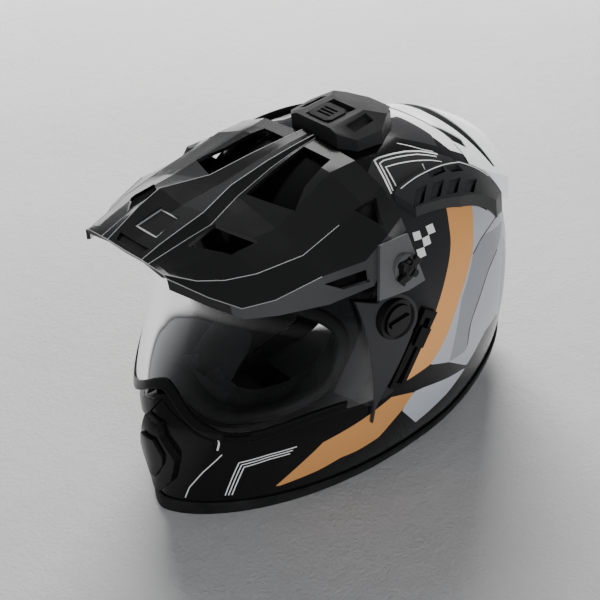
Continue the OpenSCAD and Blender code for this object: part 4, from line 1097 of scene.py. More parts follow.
def build_top_vent():
    """The top vent: a faceted hood over the crown with a slider in its groove and side scoops."""
    y = VENT_Y
    hood = prism([(-26, y), (26, y), (38, y + 10), (40, y + 34), (25, y + 58), (10, y + 68), (-10, y + 68),
                  (-25, y + 58), (-40, y + 34), (-38, y + 10)], "z", 200, VENT_TOP, "top_vent")
    back_face = prism([(-50, 0), (50, 0), (50, 100), (-50, 100)], "z", 0, 40)
    front_face = prism([(-50, -40), (50, -40), (50, 0), (-50, 0)], "z", 0, 30)
    cuts = [solid_form(LIFT), tipped(back_face, 0, y + 36, VENT_TOP, -21),
            tipped(front_face, 0, y, VENT_TOP - 8, 24)]
    for side in (1, -1):
        wing = turned(prism([(0, 0), (60, 0), (60, 120), (0, 120)], "z", 0, 30),
                      Matrix.Translation((19, -20, VENT_TOP)) @ Matrix.Rotation(math.radians(24), 4, "Y"))
        cuts.append(flip(wing, side))
        cuts.append(flip(box_at((9, 22, 5), (26.5, y + 24, VENT_TOP - 4), (0, 24, 4)), side))
    groove = [(-13, y + 4), (13, y + 4), (13, y + 33.6), (-13, y + 33.6)]
    cuts.append(prism(groove, "z", VENT_TOP - 4, VENT_TOP + 6))
    dress(soften(carve(hood, *cuts), 0.8), "helmet", "gloss_black", ["top_vent_base"], "hood_charcoal")
    outline = [(-12.7, y + 8.3), (-9, y + 4.3), (9, y + 4.3), (12.7, y + 8.3), (12.7, y + 22.3),
               (9, y + 26.3), (-9, y + 26.3), (-12.7, y + 22.3)]
    slider = prism(outline, "z", VENT_TOP - 3.7, VENT_TOP + 1.3, "top_slider")
    ribs = [box_at((14, 1.8, 4), (0, y + 10.9 + 4 * k, VENT_TOP + 2), (20, 0, 0)) for k in range(3)]
    slider = soften(carve(slider, *ribs), 0.5)
    dress(slider, "top_vent_slider", "gloss_black", ["top_vent_slider"], "matte_black")


def hood_points(u, v, down=0.0):
    """Point of the spoiler's upper face: an arch from the rear of the crown to a swept trailing edge."""
    w = 2 * u - 1
    a = np.abs(w)
    crown = SHELL_H - BELT_Z
    x = mix(0.74, 1, v) * SPOILER_HALF * w
    y = mix(0.6 * REAR_REACH - 20 * a * a, REAR_REACH - SPOILER_IN - 28 * a ** 2.2, v)
    z0 = SHELL_H - crown * (0.193 + 0.092 * a * a)
    z1 = SHELL_H - crown * (0.403 + 0.126 * a * a)
    return np.stack([x + 0 * v, y, mix(z0, z1, v) + 7 * np.sin(np.pi * v) * (1 - 0.6 * a) - down], -1)


def build_spoiler():
    """The rear spoiler: an arched hood that stands off the crown, with a long slot along its blade and a
    notch over each end of it, a black sheet inside that paints the shade in the slot, and the exhaust
    grille under it."""
    u, v = np.linspace(0, 1, 97)[None], np.linspace(0, 1, 41)[:, None]
    depth = 3 + 18 * np.abs(2 * u - 1) ** 8
    body = slab("spoiler", hood_points(u, v), hood_points(u, v, depth), 40)
    w = np.linspace(-0.93, 0.93, 80)
    middle, half = 0.45 + 0.42 * np.abs(w) ** 1.7, 0.085 * (1.1 - w ** 2)
    slot = [hood_points((1 + w) / 2, middle + k * half)[:, :2] for k in (-1, 1)]
    cuts = [prism(np.concatenate([slot[0], slot[1][::-1]]), "z", 150, 260)]
    for side in (1, -1):
        notch = [hood_points(np.array(0.5 + side * a), np.array(b))[:2] for a, b in
                 ((0.17, 0.2), (0.31, 0.27), (0.38, 0.5), (0.31, 0.48), (0.21, 0.3))]
        cuts.append(prism(notch, "z", 190, 260))
    body = carve(carve(body, *cuts), solid_form(LIFT), angle=40)
    dress(soften(body, 0.8, angle=40), "helmet", "spoiler_white", ["rear_spoiler"])
    # Painted shade: a black sheet inside the blade, under its slot, stands in for the shade there.
    u, v = np.linspace(0.04, 0.96, 61)[None], np.linspace(0.12, 0.94, 25)[:, None]
    shade_sheet = slab("spoiler_slot_shade", hood_points(u, v, 1.3), hood_points(u, v, 2.3), 40)
    dress(carve(shade_sheet, solid_form(LIFT), angle=40), "helmet", "vent_mesh", finish="matte_black")
    keep("exhaust_grille", "matte_black")


def build_side_vents():
    """The side vents: a raised band round the crown's side with four slanted louvres and two small slots over
    them. Each louvre is a shallow pocket with a raised rim and an opening along its rear half."""
    def upright(outlines):
        """Prisms through the whole band, over outlines seen from above."""
        return [prism(c, "z", BAND_LOW, BAND_TOP) for c in outlines]

    def row(outline):
        """Four copies of an outline, a louvre's step apart."""
        return [np.array(outline) + (0, LOUVRE_STEP * k) for k in range(4)]

    for side, word in SIDES:
        body = patch("side_vent_" + word, -20, 80, BAND_LOW, SHELL_H - 1, BAND_H, LIFT, 120, 90, crown=True)
        outline = [(83, 12), (80.5, 32), (77.5, 62), (76, 84), (81, 112), (86, 122), (97, 104), (100.5, 60),
                   (99, 15), (86, 6)]
        body = carve(body, *upright([outline]), how="INTERSECT")
        room = carve(*upright([[(76, 0), (99.4, 0), (99.4, 112), (76, 112)]]), solid_form(POCKET_IN))
        slots = row([(98, 13), (98, 24), (88.8, 37.5), (88.8, 26.5)])
        slots += [[(80.4, 45.5), (85.8, 45), (84, 62.6), (78.6, 64)],
                  [(79, 66.6), (85, 67), (84.2, 81.5), (78.8, 80.5)]]
        shallow = carve(merge("cutter", *upright(slots)), room, how="INTERSECT")
        holes = row([(97.5, 19), (97.5, 23), (90, 36), (90, 31.5)])
        holes += [[(82, 51), (84.6, 50.5), (83.3, 61.3), (80.4, 62.3)],
                  [(80.4, 71), (83.9, 71), (83.3, 79.8), (79.8, 79)]]
        body = carve(body, shallow, merge("cutter", *upright(holes)))
        dress(flip(soften(body, 0.5), side), "helmet", "vent_grey", ["side_vent_" + word])


# Shield


def lens_grid(o, nu=121, nv=41):
    """Grid of the shield between its rear edges: columns share the angle between the two ends of each row,
    and rows run from the swept lower edge to the straight upper one."""
    table_z = np.linspace(60, 195, 136)
    t = np.linspace(-60, 0, 241)
    ends = np.array([np.interp(-62.0, skin(t, z, o)[:, 1], t) for z in table_z])
    u, v = np.linspace(-1, 1, nu)[None], np.linspace(0, 1, nv)[:, None]
    angle, z = 60.0 * u + 0 * v, 130.0 + 0 * u * v
    for _ in range(8):
        z = mix(shield_edge(np.abs(angle)), SHIELD_TOP, v)
        angle = u * (90 + np.interp(z, table_z, ends))
    return skin(angle - 90, z, o)


def build_shield():
    """The clear shield, its grey side panels, its lower rail and its lifting tab."""
    lens = slab("shield_glass", lens_grid(SHIELD_IN + SHIELD_T), lens_grid(SHIELD_IN), 50)
    dress(lens, "shield", "shield_clear", ["shield_lens"])
    rim = PIVOT_Y + HUB_R

    for side, word in SIDES:
        body = patch("shield_panel_" + word, -56, -4, 72, 194, SHIELD_IN + SHIELD_T, SHIELD_IN, 70, 90)
        outline = [(-61.7, 60), (-60, 88), (-55, 99), (PIVOT_Y + 12, PIVOT_Z - HUB_R), (rim - 3, PIVOT_Z + 4),
                   (PIVOT_Y - 6, PIVOT_Z + HUB_R - 1.5), (-61.7, 183.6)]
        keep_in = carve(prism(outline, "x", *OUTBOARD),
                        prism(circle(PIVOT_Y, PIVOT_Z, HUB_R + 3, 72), "x", *OUTBOARD), how="UNION")
        body = carve(body, keep_in, how="INTERSECT")
        body = carve(body, prism(circle(PIVOT_Y, PIVOT_Z, HUB_R + GAP, 72), "x", *OUTBOARD))
        dress(flip(soften(body, 0.5, angle=40), side), "shield", "vent_grey", ["shield_side_" + word],
              "side_grey")
    u = np.linspace(-154, -26, 129)[:, None]
    s = curve([(0, 2.1), (0, 2.8), (0.08, 3.4), (0.3, 3.6), (0.8, 3.6), (0.98, 3.2), (1, 2.6), (1, 2.1)], 14)
    z = shield_edge(off_nose(u)) + 7 * s[None, :, 0]
    rail = rings("shield_lower_rail", skin(u, z, SHIELD_IN + s[None, :, 1] + SHIELD_T - 1.8), closed=False,
                 angle=50)
    dress(rail, "shield", "gloss_black", ["shield_rail"])
    u, v = np.linspace(-58, -50, 13)[None], np.linspace(0, 1, 9)[:, None]
    z = shield_edge(off_nose(u)) + mix(0, 6, v)
    tab = slab("shield_lift_tab", skin(u, z, SHIELD_IN + SHIELD_T + 5.5 - 2 * v),
               skin(u, z, SHIELD_IN + SHIELD_T + 2.1 + 0 * v))
    dress(soften(tab, 0.6, angle=50), "shield", "gloss_black", ["shield_tab"])


def build_pivots():
    """The shield's pivots, kept as built, with fine edges."""
    for _, word in SIDES:
        for node, finish, edge in (("pivot_base_", "dark_metal", 0.3), ("shield_hub_", "matte_black", 0.5),
                                   ("pivot_cap_", "gloss_black", 0.5), ("visor_hub_", "matte_black", 0.3),
                                   ("visor_pin_", "dark_metal", 0.2)):
            keep(node + word, finish, edge)


def barrel(k, up, o):
    """Point of the sun visor's barrel at angle k across it and up over its axis: its radius falls with a
    power of the cosine of k, and its half width grows with a power of the sine."""
    c, s = np.cos(np.radians(k)), np.sin(np.radians(k))
    r = (VISOR_R - o) * c ** 1.54
    x = (VISOR_HALF - o) * np.sign(s) * np.abs(s) ** 1.053
    y, z = VISOR_Y - r * np.cos(np.radians(up)), VISOR_Z + r * np.sin(np.radians(up))
    return np.stack([x + 0 * up, y, z], -1)


def build_sun_visor():
    """The smoked sun visor: a band of the barrel that narrows to its arms and widens round its hubs."""
    end = math.degrees(math.acos(((8 + GAP) / (VISOR_R - VISOR_T)) ** 0.65))
    k = np.linspace(-end, end, 141)[None]
    a = np.abs(k)
    arm, eye = ramp((a - 42) / 18), ramp((a - 67) / 5)
    v = np.linspace(0, 1, 25)[:, None]
    up = mix(13 + 14 * arm - 110 * eye, 59 - 22 * arm + 110 * eye, v)
    lens = slab("sun_visor_lens", barrel(k, up, 0.0), barrel(k, up, VISOR_T), 50)
    dress(lens, "sun_visor", "visor_smoke", ["sun_visor"])
    keep("visor_track", "matte_black", 0.4)
    keep("visor_slider", "gloss_black", 0.6)


# Peak


def arm_plane(z):
    """Half width where the peak's skirt lies against its arms at height z."""
    return ARM_IN - (z - ARM_Z) * math.tan(math.radians(ARM_LEAN)) - 1.5 * GAP


def peak_net():
    """The peak's cross-sections, from its front edge to its hem at the rear, each from the right skirt over
    the spine to the left skirt, and the same points drawn in by its thickness along their normals."""
    h = HEM_Z - 257
    rows = [
        (-180, [(0, 243), (20.5, 243.5), (28, 243), (38, 242.5), (45, 242), (49, 240), (50, 231)]),
        (-163, [(0, 247), (22, 249), (30, 246), (48, 240), (60, 234), (71, 225), (72, 217)]),
        (-146, [(0, 250.5), (24.5, 254), (32, 249), (52, 241), (70, 230), (86, 213), (87, 204)]),
        (-125, [(0, 254), (26, 258.5), (33, 251), (56, 242), (80, 229), (98, 214.5), (100, 202)]),
        (-88, [(0, 255), (12, 258), (19, 251.5), (60, 240), (88, 229), (107, 219), (112, 197)]),
        (-50, [(0, 256 + h), (9, 258 + h), (13, 253.5 + h), (54, 246 + h), (86, 235), (arm_plane(215), 215),
               (arm_plane(196), 196)]),
        (-24, [(0, 257 + h), (7.5, 258 + h), (10, 255 + h), (50, 251.5 + h), (84, 240), (arm_plane(223), 223),
               (arm_plane(213), 213)]),
        (0, [(0, 256.5 + h), (6.5, 257.5 + h), (8, 255 + h), (52, 251.5 + h), (80, 241.5), (98, 222),
             (103, 213)])]
    half = np.array([[(x, y, z) for x, z in row] for y, row in rows])
    net = np.concatenate([(half * (-1, 1, 1))[:, :0:-1], half], 1)
    du = np.concatenate([net[:, 1:2] - net[:, :1], net[:, 2:] - net[:, :-2], net[:, -1:] - net[:, -2:-1]], 1)
    dv = np.concatenate([net[1:2] - net[:1], net[2:] - net[:-2], net[-1:] - net[-2:-1]], 0)
    out = np.cross(du, dv)
    out /= np.linalg.norm(out, axis=-1, keepdims=True)
    return net, net - PEAK_T * out


def fine(net, n):
    """Each cell of a net split into n x n, its points mixed in straight lines from the cell's corners."""
    rows, cols = net.shape[:2]
    v = np.linspace(0, rows - 1, (rows - 1) * n + 1)
    u = np.linspace(0, cols - 1, (cols - 1) * n + 1)
    j, i = np.minimum(v.astype(int), rows - 2), np.minimum(u.astype(int), cols - 2)
    a, b = (v - j)[:, None, None], (u - i)[None, :, None]
    return mix(mix(net[j][:, i], net[j][:, i + 1], b), mix(net[j + 1][:, i], net[j + 1][:, i + 1], b), a)


def bead(path):
    """A fine six-sided bead along a line: each ring stands square to the line. The peak's beads are pale,
    painted highlights along its creases.
    """
    d = np.gradient(path, axis=0)
    d /= np.linalg.norm(d, axis=1, keepdims=True)
    a = np.cross(d, (0, 0, 1))
    a /= np.linalg.norm(a, axis=1, keepdims=True)
    b = np.cross(a, d)
    k = np.radians(np.arange(0, 360, 60))[None, :, None]
    ring = path[:, None] + BEAD_R * (np.cos(k) * a[:, None] + np.sin(k) * b[:, None])
    return rings("bead", ring, closed=False, angle=70)


def build_peak():
    """The peak: its net as a shell with creases, cut by the windows beside the spine, the hatches before
    them and the side slots, with a bare badge plate in a frame on the spine, a shallow slot at the front
    edge, and pale beads along the creases that are painted highlights."""
    top, under = (fine(net, SPLIT) for net in peak_net())
    body = slab("peak", top, under, 12)
    openings = (([(21, -82), (10.5, -14), (38, -12), (46, -46), (58, -67)], "z", 225, 285),
                ([(36, -150), (34, -122), (62, -106), (60, -130)], "z", 215, 275),
                ([(-34, 240), (-8, 241), (-22, 227)], "x", 84, 130),
                ([(-88, 213), (-50, 209), (-52, 200), (-74, 203)], "x", 96, 130))
    cuts = [flip(prism(*opening), side) for side in (1, -1) for opening in openings]
    cuts.append(tipped(prism([(-13, -14), (13, -14), (11, 10), (-11, 10)], "z", 0, 9),
                       0, BADGE_Y, BADGE_Z + BADGE_IN, BADGE_SLOPE))
    cuts.append(tipped(prism([(-14, -4), (14, -4), (17, 3), (-17, 3)], "z", -SLOT_DEPTH, 9),
                       0, SLOT_Y, SLOT_Z, SLOT_SLOPE))
    body = carve(body, *cuts, angle=8)
    shade(bake(round_edges(body, 0.8, 9)), 5)
    p = points_of(body)
    fold = np.interp(p[:, 1], [-163, -146, -125, -88, -50, -24, 0], [225, 213, 214.5, 219, 215, 223, 222])
    note(body, "skirt", np.minimum(fold - p[:, 2], 0.5 * (p[:, 1] + 152)))
    dress(body, "peak", "matte_black", ["peak_shell"], "peak_paint")
    plate = prism([(-11, -12), (11, -12), (9.4, 8.4), (-9.4, 8.4)], "z", -1, 0.6, "peak_badge")
    dress(soften(tipped(plate, 0, BADGE_Y, BADGE_Z, BADGE_SLOPE), 0.5), "peak", "matte_black")
    outer = [(-12.7, -13.7), (12.7, -13.7), (10.8, 9.8), (-10.8, 9.8)]
    inner = [(-11.4, -12.4), (11.4, -12.4), (9.7, 8.7), (-9.7, 8.7)]
    rim = carve(prism(outer, "z", -0.6, 1.1, "peak_badge_rim"), prism(inner, "z", -3, 3))
    dress(tipped(rim, 0, BADGE_Y, BADGE_Z, BADGE_SLOPE), "peak", "spoiler_white", finish="line_grey")
    # Painted highlights: pale grey beads along the peak's creases stand in for the light they catch.
    middle = 6 * SPLIT
    creases = [bead(top[:SPLIT * last + 1, middle + side * SPLIT * k])
               for side in (1, -1) for k, last in ((1, 7), (2, 7), (4, 5), (5, 4))]
    creases.append(bead(top[0, SPLIT:-SPLIT]))
    dress(merge("peak_crease_highlights", *creases), "peak", "vent_grey", finish="line_grey")
    for _, word in SIDES:
        keep("peak_arm_" + word, "arm_grey", 0.5)
        keep("peak_boss_" + word, "matte_black", 0.3)


def build_screws():
    """The peak's thumb screws: the lobed head is kept as built, and carries a bow of two wings and a raised
    ring."""
    for side, word in SIDES:
        keep("peak_screw_" + word, "matte_black", 0.4)
        low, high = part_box("peak_screw_" + word)
        top = METRE * (high[0] if side > 0 else -low[0])
        outline = [(-12, -4.6), (-4, -2.4), (4, -2.4), (12, -4.6), (12, 4.6), (4, 2.4), (-4, 2.4), (-12, 4.6)]
        bow = prism(outline, "x", top - 3.2, top - 0.2, "bow")
        bow = tipped(bow, 0, ARM_Y, ARM_Z, WING_TURN)
        ring = carve(prism(circle(ARM_Y, ARM_Z, 5.2), "x", top - 1, top + 0.2, "ring"),
                     prism(circle(ARM_Y, ARM_Z, 3.9), "x", top - 3, top + 3))
        wing = merge("screw_wings_" + word, flip(soften(bow, 0.6), side), flip(ring, side))
        dress(wing, "peak_screw_" + word, "gloss_black")


# Soft pieces


def inflate(obj, held, s):
    """Fills a pad: a cloth simulation with pressure inside, in which the held points stay where they are. The
    cloth's movement is capped, and the pad is subdivided once."""
    group = obj.vertex_groups.new(name="held")
    group.add(np.flatnonzero(held).tolist(), 1.0, "REPLACE")
    cloth = obj.modifiers.new("cloth", "CLOTH")
    cloth.settings.quality = 5
    cloth.settings.mass = 0.2
    cloth.settings.tension_stiffness = cloth.settings.compression_stiffness = 10
    cloth.settings.shear_stiffness = 5
    cloth.settings.bending_stiffness = 0.5
    cloth.settings.use_pressure = True
    cloth.settings.uniform_pressure_force = s.pressure
    cloth.settings.vertex_group_mass = "held"
    cloth.settings.effector_weights.gravity = 0
    cloth.point_cache.frame_start, cloth.point_cache.frame_end = 1, s.frames
    rest = points_of(obj)
    scene = bpy.context.scene
    for f in range(1, s.frames + 1):
        scene.frame_set(f)
    bake(obj)
    scene.frame_set(1)
    move = points_of(obj) - rest
    far = np.linalg.norm(move, axis=1, keepdims=True)
    limit = s.limit * METRE
    move *= np.minimum(1, limit / np.maximum(far, 1e-6))
    obj.data.vertices.foreach_set("co", ((rest + move + (0, SHIFT, 0)) * MM).ravel())
    obj.data.update()
    obj.vertex_groups.clear()
    levels = bpy.context.scene.helmet_form.render_levels
    round_off = obj.modifiers.new("round", "SUBSURF")
    round_off.levels = round_off.render_levels = levels
    shade(bake(obj), 70)


def pad(name, at, nu, nv, depth, seams, s, finish, nodes):
    """A pad over a patch of the liner: its back lies on the foam and is held, and its face bulges from its
    rim, with stitched seams drawn in and held."""
    u, v = np.linspace(0, 1, nu)[None], np.linspace(0, 1, nv)[:, None]
    bulge = pinch(2 * u - 1, 3) * pinch(2 * v - 1, 3)
    seam = np.zeros_like(bulge)
    for line in seams:
        away = np.abs(line(u, v)) + 0 * bulge
        seam = np.maximum(seam, np.exp(-(away / 0.022) ** 2))
    face = 5 + (depth - 5) * bulge - 2.2 * seam * (bulge > 0.2)
    obj = slab(name, at(u, v, 0.0), at(u, v, face), 80)
    back = nu * nv
    edge = (bulge < 0.3) | (seam > 0.6)
    held = np.concatenate([np.ones(back, bool), edge.ravel()])
    inflate(obj, held, s)
    dress(obj, "helmet", finish, nodes)


def build_pads():
    """The comfort lining: cheek pads, neck roll and crown pad, filled out by a cloth simulation."""
    s = bpy.context.scene.helmet_pads
    port = 20
    angles = np.concatenate([-90 + PORT_ANGLE * np.sin(np.radians(np.arange(-10, 11) * 9)),
                             -90 + PORT_ANGLE + np.arange(1, 28) * (360 - 2 * PORT_ANGLE) / 28])

    def on_foam(c0, c1, r0, r1, lift):
        """A patch of the liner's inner face between columns c0 and c1 and rows r0 and r1."""
        def at(u, v, o):
            """Its point at shares u and v of its width and height, o nearer the head."""
            t = np.interp(mix(c0, c1, u), np.arange(len(angles)), angles)
            z = row_z(mix(r0, r1, v), t)
            return skin(t, z, foam_in(z) - sink(t, z) - lift - o)
        return at

    for side, word in SIDES:
        at = on_foam(port - 3, port + 5, 1, 5.5, LIFT + 2 * GAP)
        seams = [lambda u, v: v - 0.5 - 0.12 * np.sin(3 * u), lambda u, v: (u - 0.62) * (1 + 0 * v)]
        pad("cheek_cushion_" + word, lambda u, v, o, at=at, side=side: at(u, v, o) * np.array((side, 1, 1)),
            36, 26, CHEEK_T, seams, s, "pad_cloth", ["cheek_pad_" + word])
    pad("neck_cushion", on_foam(port + 6.5, port + 21.5, 1, 3, GAP), 64, 14, NECK_T,
        [lambda u, v: u - 0.33 + 0 * v, lambda u, v: u - 0.67 + 0 * v], s, "pad_cloth", ["neck_roll"])
    t = np.linspace(-90, 270, 97)[:-1]
    r = np.linspace(4, 11.6, 22)[:, None]
    z = mix(port_upper(t)[None], SHELL_H, np.sin(np.radians(90 * r / 12)))
    quilt = np.maximum(np.exp(-((np.abs(np.sin(np.radians(3 * t))) / 0.14) ** 2))[None] * (r < 10.4),
                       np.exp(-((r - 7.2) / 0.25) ** 2))
    thick = mix(3, CROWN_PAD_T, ramp((r - 4) / 2)) - 2.4 * quilt * (r > 4.6)
    sunk = foam_in(z) - sink(t[None], z) - GAP
    back, face = skin(t[None], z, sunk), skin(t[None], z, sunk - thick)
    n, m = z.shape
    tips = np.array([[0, 0, back[-1, :, 2].mean() + 0.4], [0, 0, face[-1, :, 2].mean() + 0.4]])
    j = np.arange(m)
    k = (j + 1) % m
    top = (n - 1) * m
    faces = [grid(n, m, wrap=True), grid(n, m, wrap=True, start=n * m)[:, ::-1],
             np.stack([j, k, k + n * m, j + n * m], -1), np.stack([top + j, top + k, 0 * j + 2 * n * m], -1),
             np.stack([top + n * m + k, top + n * m + j, 0 * j + 2 * n * m + 1], -1)]
    points = np.concatenate([back.reshape(-1, 3), face.reshape(-1, 3), tips])
    crown = piece("crown_cushion", points, faces, 80)
    sewn = (quilt > 0.6) | (r < 4.8) | (r > 11)
    held = np.concatenate([np.ones(n * m, bool), sewn.ravel(), [True, True]])
    inflate(crown, held, s)
    dress(crown, "helmet", "mesh_cloth", ["crown_pad"])


def build_curtain():
    """The chin curtain, a sheet of cloth stretched under the chin bar, and the breath guard over it, a
    moulded rubber wing with a thick lip."""
    u, v = np.linspace(0, 1, 81)[None], np.linspace(0, 1, 17)[:, None]
    t = mix(-142, -38, u)
    wave = 0.5 * np.sin(26 * u) * np.sin(np.pi * v)

    def cloth(h):
        """Points of the curtain, h over its lower face: flat at the chin, with a slight wave."""
        p = skin(t + 0 * v, 0 * u * v, mix(-SHELL_T - 4.8, -42, v) + 0 * u)
        p[..., 2] += mix(8, 15, v) + 0.4 + h + wave
        return p

    curtain = slab("chin_curtain_cloth", cloth(0.8), cloth(0.0), 60)
    dress(curtain, "helmet", "mesh_cloth", ["chin_curtain"])
    mid = cloth(0.4)
    u, v = np.linspace(0, 1, 61)[None], np.linspace(0, 1, 21)[:, None]
    t = mix(-112, -68, u)
    z = mix(PORT_CHIN - 14, PORT_CHIN + 18 * pinch(2 * u - 1, 2.5), v)
    inner = foam_in(PORT_CHIN) - sink(t, PORT_CHIN) - 0.1 - 9 * v * v
    lip = 2 + 0.9 * np.exp(-(((v - 0.94) / 0.05) ** 2)) - 0.5 * np.exp(-((v - 0.45) / 0.03) ** 2)
    guard = slab("breath_wing", skin(t, z, inner), skin(t, z, inner - lip), 60)
    dress(guard, "helmet", "seal_rubber", ["breath_guard"])


def build_straps():
    """The chin strap: two flat bands of webbing with rounded edges, each along a smooth line from its
    anchor to the rings, and the steel anchors and rings kept as built."""
    for side, word, last in ((1, "left", 10.3), (-1, "right", 2.3)):
        path = curve([(77, 22), (76.4, 14), (66, 8.6), (44, 7.1), (last, 7)], 60)
        d = np.gradient(path, axis=0)
        d /= np.linalg.norm(d, axis=1, keepdims=True)
        n = np.stack([-d[:, 1], d[:, 0]], -1)
        y = np.array([-12, -11.6, -6, 0, 6, 11.6, 12, 11.6, 6, 0, -6, -11.6])
        h = np.array([0, 0.8, 1, 1, 1, 0.8, 0, -0.8, -1, -1, -1, -0.8])
        ring = np.stack([path[:, None, 0] + n[:, None, 0] * h, np.broadcast_to(STRAP_Y + y, (60, 12)),
                         path[:, None, 1] + n[:, None, 1] * h], -1)
        band = flip(rings("chin_strap_" + word + "_web", ring, closed=False, angle=60), side)
        dress(band, "helmet", "strap_web", ["chin_strap_" + word])
    for node in ("strap_anchors", "d_ring_outer", "d_ring_inner"):
        keep(node, "bare_metal", 0.5 if node != "strap_anchors" else 0.0)


# Stage


def lamp(name, place, target, size, power, colour):
    """A soft rectangular light that faces its target."""
    light = bpy.data.lights.new(name, "AREA")
    light.shape, light.size, light.size_y = "RECTANGLE", size[0], size[1]
    light.energy, light.color = power, colour
    obj = placed(name, light)
    obj.location = place
    obj.rotation_euler = (Vector(target) - Vector(place)).to_track_quat("-Z", "Y").to_euler()
    return obj


def build_stage():
    """Floor, soft light and camera. The camera stands at its azimuth, elevation and distance from the
    target, and is turned by its roll about the line of sight."""
    s = bpy.context.scene.helmet_stage
    scene = bpy.context.scene
    mesh = bpy.data.meshes.new("floor")
    mesh.from_pydata([(-6, -6, 0), (6, -6, 0), (6, 6, 0), (-6, 6, 0)], [], [(0, 1, 2, 3)])
    floor = placed("floor", mesh)
    mesh.materials.append(floor_paint("floor_paint", s))
    world = bpy.data.worlds.new("studio")
    world.use_nodes = True
    back = world.node_tree.nodes["Background"]
    back.inputs["Color"].default_value = (0.60, 0.61, 0.63, 1)
    back.inputs["Strength"].default_value = s.sky
    scene.world = world
    window = lamp("window", (-1.5, 1.25, 1.35), (0, 0, 0.15), (1.5, 1.0), s.window, (1.0, 0.99, 0.97))
    window.visible_glossy = False
    lamp("rim", (-1.3, 1.4, 1.5), (0, 0, 0.15), (1.2, 0.8), s.rim, (1.0, 0.99, 0.98))
    fill = lamp("side_fill", (2.1, -0.9, 0.8), (0, 0, 0.1), (1.3, 0.9), s.fill, (0.98, 0.99, 1.0))
    fill.visible_glossy = False
    a, e, r = s.azimuth, s.elevation, s.roll
    out = np.array([math.sin(a) * math.cos(e), -math.cos(a) * math.cos(e), math.sin(e)])
    right = np.array([math.cos(a), math.sin(a), 0])
    up = np.cross(out, right)
    x = right * math.cos(r) + up * math.sin(r)
    y = up * math.cos(r) - right * math.sin(r)
    target = (np.array(CAMERA_AT) + (0, SHIFT, 0)) * MM
    camera = bpy.data.cameras.new("camera")
    camera.lens, camera.sensor_width = s.lens, 36.0
    camera.clip_start = 0.05
    obj = placed("camera", camera)
    m = Matrix.Identity(4)
    for i, axis in enumerate((x, y, out, target + out * s.distance)):
        for k in range(3):
            m[k][i] = axis[k]
    obj.matrix_world = m
    scene.camera = obj


# Add-on


class HELMET_OT_shell(bpy.types.Operator):
    """Build the painted outer shell round its liner"""

    bl_idname = "helmet.shell"
    bl_label = "Shell"

    def execute(self, context):
        build_shell()
        return {"FINISHED"}


class HELMET_OT_lines(bpy.types.Operator):
    """Lay the wing panels, pinstripes and squares, a painted highlight and painted shade lines on the shell
    """

    bl_idname = "helmet.lines"
    bl_label = "Painted Lines"

    def execute(self, context):
        build_lines()
        return {"FINISHED"}


class HELMET_OT_seal(bpy.types.Operator):
    """Build the eye port's seal and the rim's trim"""

    bl_idname = "helmet.seal"
    bl_label = "Seals"

    def execute(self, context):
        build_seal()
        return {"FINISHED"}


class HELMET_OT_chin_vent(bpy.types.Operator):
    """Build the chin vent and its shutter"""

    bl_idname = "helmet.chin_vent"
    bl_label = "Chin Vent"

    def execute(self, context):
        build_chin_vent()
        return {"FINISHED"}


class HELMET_OT_top_vent(bpy.types.Operator):
    """Build the top vent and its slider"""

    bl_idname = "helmet.top_vent"
    bl_label = "Top Vent"

    def execute(self, context):
        build_top_vent()
        return {"FINISHED"}


class HELMET_OT_spoiler(bpy.types.Operator):
    """Build the rear spoiler over its exhaust grille"""

    bl_idname = "helmet.spoiler"
    bl_label = "Spoiler"

    def execute(self, context):
        build_spoiler()
        return {"FINISHED"}


class HELMET_OT_side_vents(bpy.types.Operator):
    """Build the louvred side vents"""

    bl_idname = "helmet.side_vents"
    bl_label = "Side Vents"

    def execute(self, context):
        build_side_vents()
        return {"FINISHED"}


class HELMET_OT_shield(bpy.types.Operator):
    """Build the clear shield with its side panels, rail and tab"""

    bl_idname = "helmet.shield"
    bl_label = "Shield"

    def execute(self, context):
        build_shield()
        return {"FINISHED"}


class HELMET_OT_pivots(bpy.types.Operator):
    """Finish the pivots of the shield and the sun visor"""

    bl_idname = "helmet.pivots"
    bl_label = "Pivots"

    def execute(self, context):
        build_pivots()
        return {"FINISHED"}


class HELMET_OT_sun_visor(bpy.types.Operator):
    """Build the drop-down sun visor"""

    bl_idname = "helmet.sun_visor"
    bl_label = "Sun Visor"

    def execute(self, context):
        build_sun_visor()
        return {"FINISHED"}


class HELMET_OT_peak(bpy.types.Operator):
    """Build the peak with its windows, badge plate and creases"""

    bl_idname = "helmet.peak"
    bl_label = "Peak"

    def execute(self, context):
        build_peak()
        return {"FINISHED"}


class HELMET_OT_screws(bpy.types.Operator):
    """Build the peak's thumb screws"""

    bl_idname = "helmet.screws"
    bl_label = "Screws"

    def execute(self, context):
        build_screws()
        return {"FINISHED"}


class HELMET_OT_pads(bpy.types.Operator):
    """Build the comfort lining and fill it by a cloth simulation"""

    bl_idname = "helmet.pads"
    bl_label = "Pads"

    def execute(self, context):
        build_pads()
        return {"FINISHED"}


class HELMET_OT_curtain(bpy.types.Operator):
    """Build the chin curtain and the breath guard"""

    bl_idname = "helmet.curtain"
    bl_label = "Curtain"

    def execute(self, context):
        build_curtain()
        return {"FINISHED"}


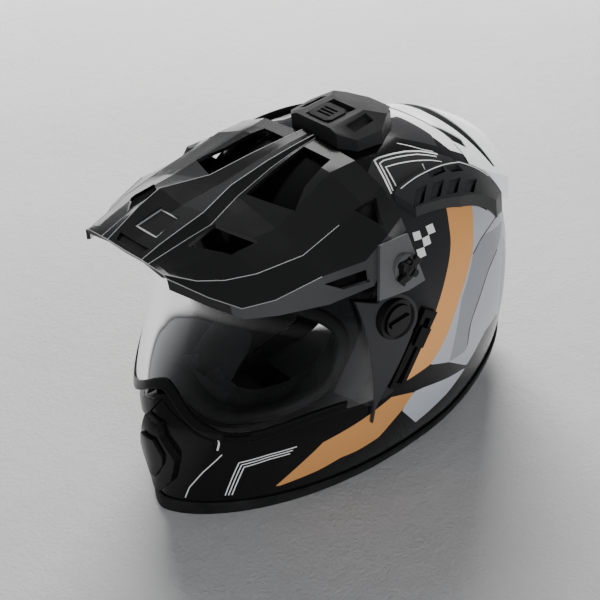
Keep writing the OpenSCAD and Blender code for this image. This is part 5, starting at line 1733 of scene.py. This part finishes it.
class HELMET_OT_straps(bpy.types.Operator):
    """Build the chin strap and its rings"""

    bl_idname = "helmet.straps"
    bl_label = "Straps"

    def execute(self, context):
        build_straps()
        return {"FINISHED"}


class HELMET_OT_stage(bpy.types.Operator):
    """Build the floor, the lights and the camera"""

    bl_idname = "helmet.stage"
    bl_label = "Stage"

    def execute(self, context):
        build_stage()
        return {"FINISHED"}


OPERATORS = (HELMET_OT_shell, HELMET_OT_lines, HELMET_OT_seal, HELMET_OT_chin_vent, HELMET_OT_top_vent,
             HELMET_OT_spoiler, HELMET_OT_side_vents, HELMET_OT_shield, HELMET_OT_pivots,
             HELMET_OT_sun_visor, HELMET_OT_peak, HELMET_OT_screws, HELMET_OT_pads, HELMET_OT_curtain,
             HELMET_OT_straps, HELMET_OT_stage)
SETTINGS = {"helmet_form": HelmetForm, "helmet_paint": HelmetPaint, "helmet_pads": HelmetPads,
            "helmet_stage": HelmetStage}


class HELMET_PT_panel(bpy.types.Panel):
    """Lists the helmet's settings and its pieces"""

    bl_label = "Helmet"
    bl_idname = "HELMET_PT_panel"
    bl_space_type = "VIEW_3D"
    bl_region_type = "UI"
    bl_category = "Helmet"

    def draw(self, context):
        for name, group in SETTINGS.items():
            column = self.layout.column(align=True)
            for key in group.__annotations__:
                column.prop(getattr(context.scene, name), key)
        for operator in OPERATORS:
            self.layout.operator(operator.bl_idname)


def register():
    """Adds the settings, the operators and the panel."""
    for cls in (*SETTINGS.values(), *OPERATORS, HELMET_PT_panel):
        bpy.utils.register_class(cls)
    for name, group in SETTINGS.items():
        setattr(bpy.types.Scene, name, PointerProperty(type=group))


def unregister():
    """Removes what register() adds."""
    for name in SETTINGS:
        delattr(bpy.types.Scene, name)
    for cls in reversed((*SETTINGS.values(), *OPERATORS, HELMET_PT_panel)):
        bpy.utils.unregister_class(cls)


def main():
    register()
    for operator in OPERATORS:
        group, name = operator.bl_idname.split(".")
        getattr(getattr(bpy.ops, group), name)()


if __name__ == "__main__":
    main()
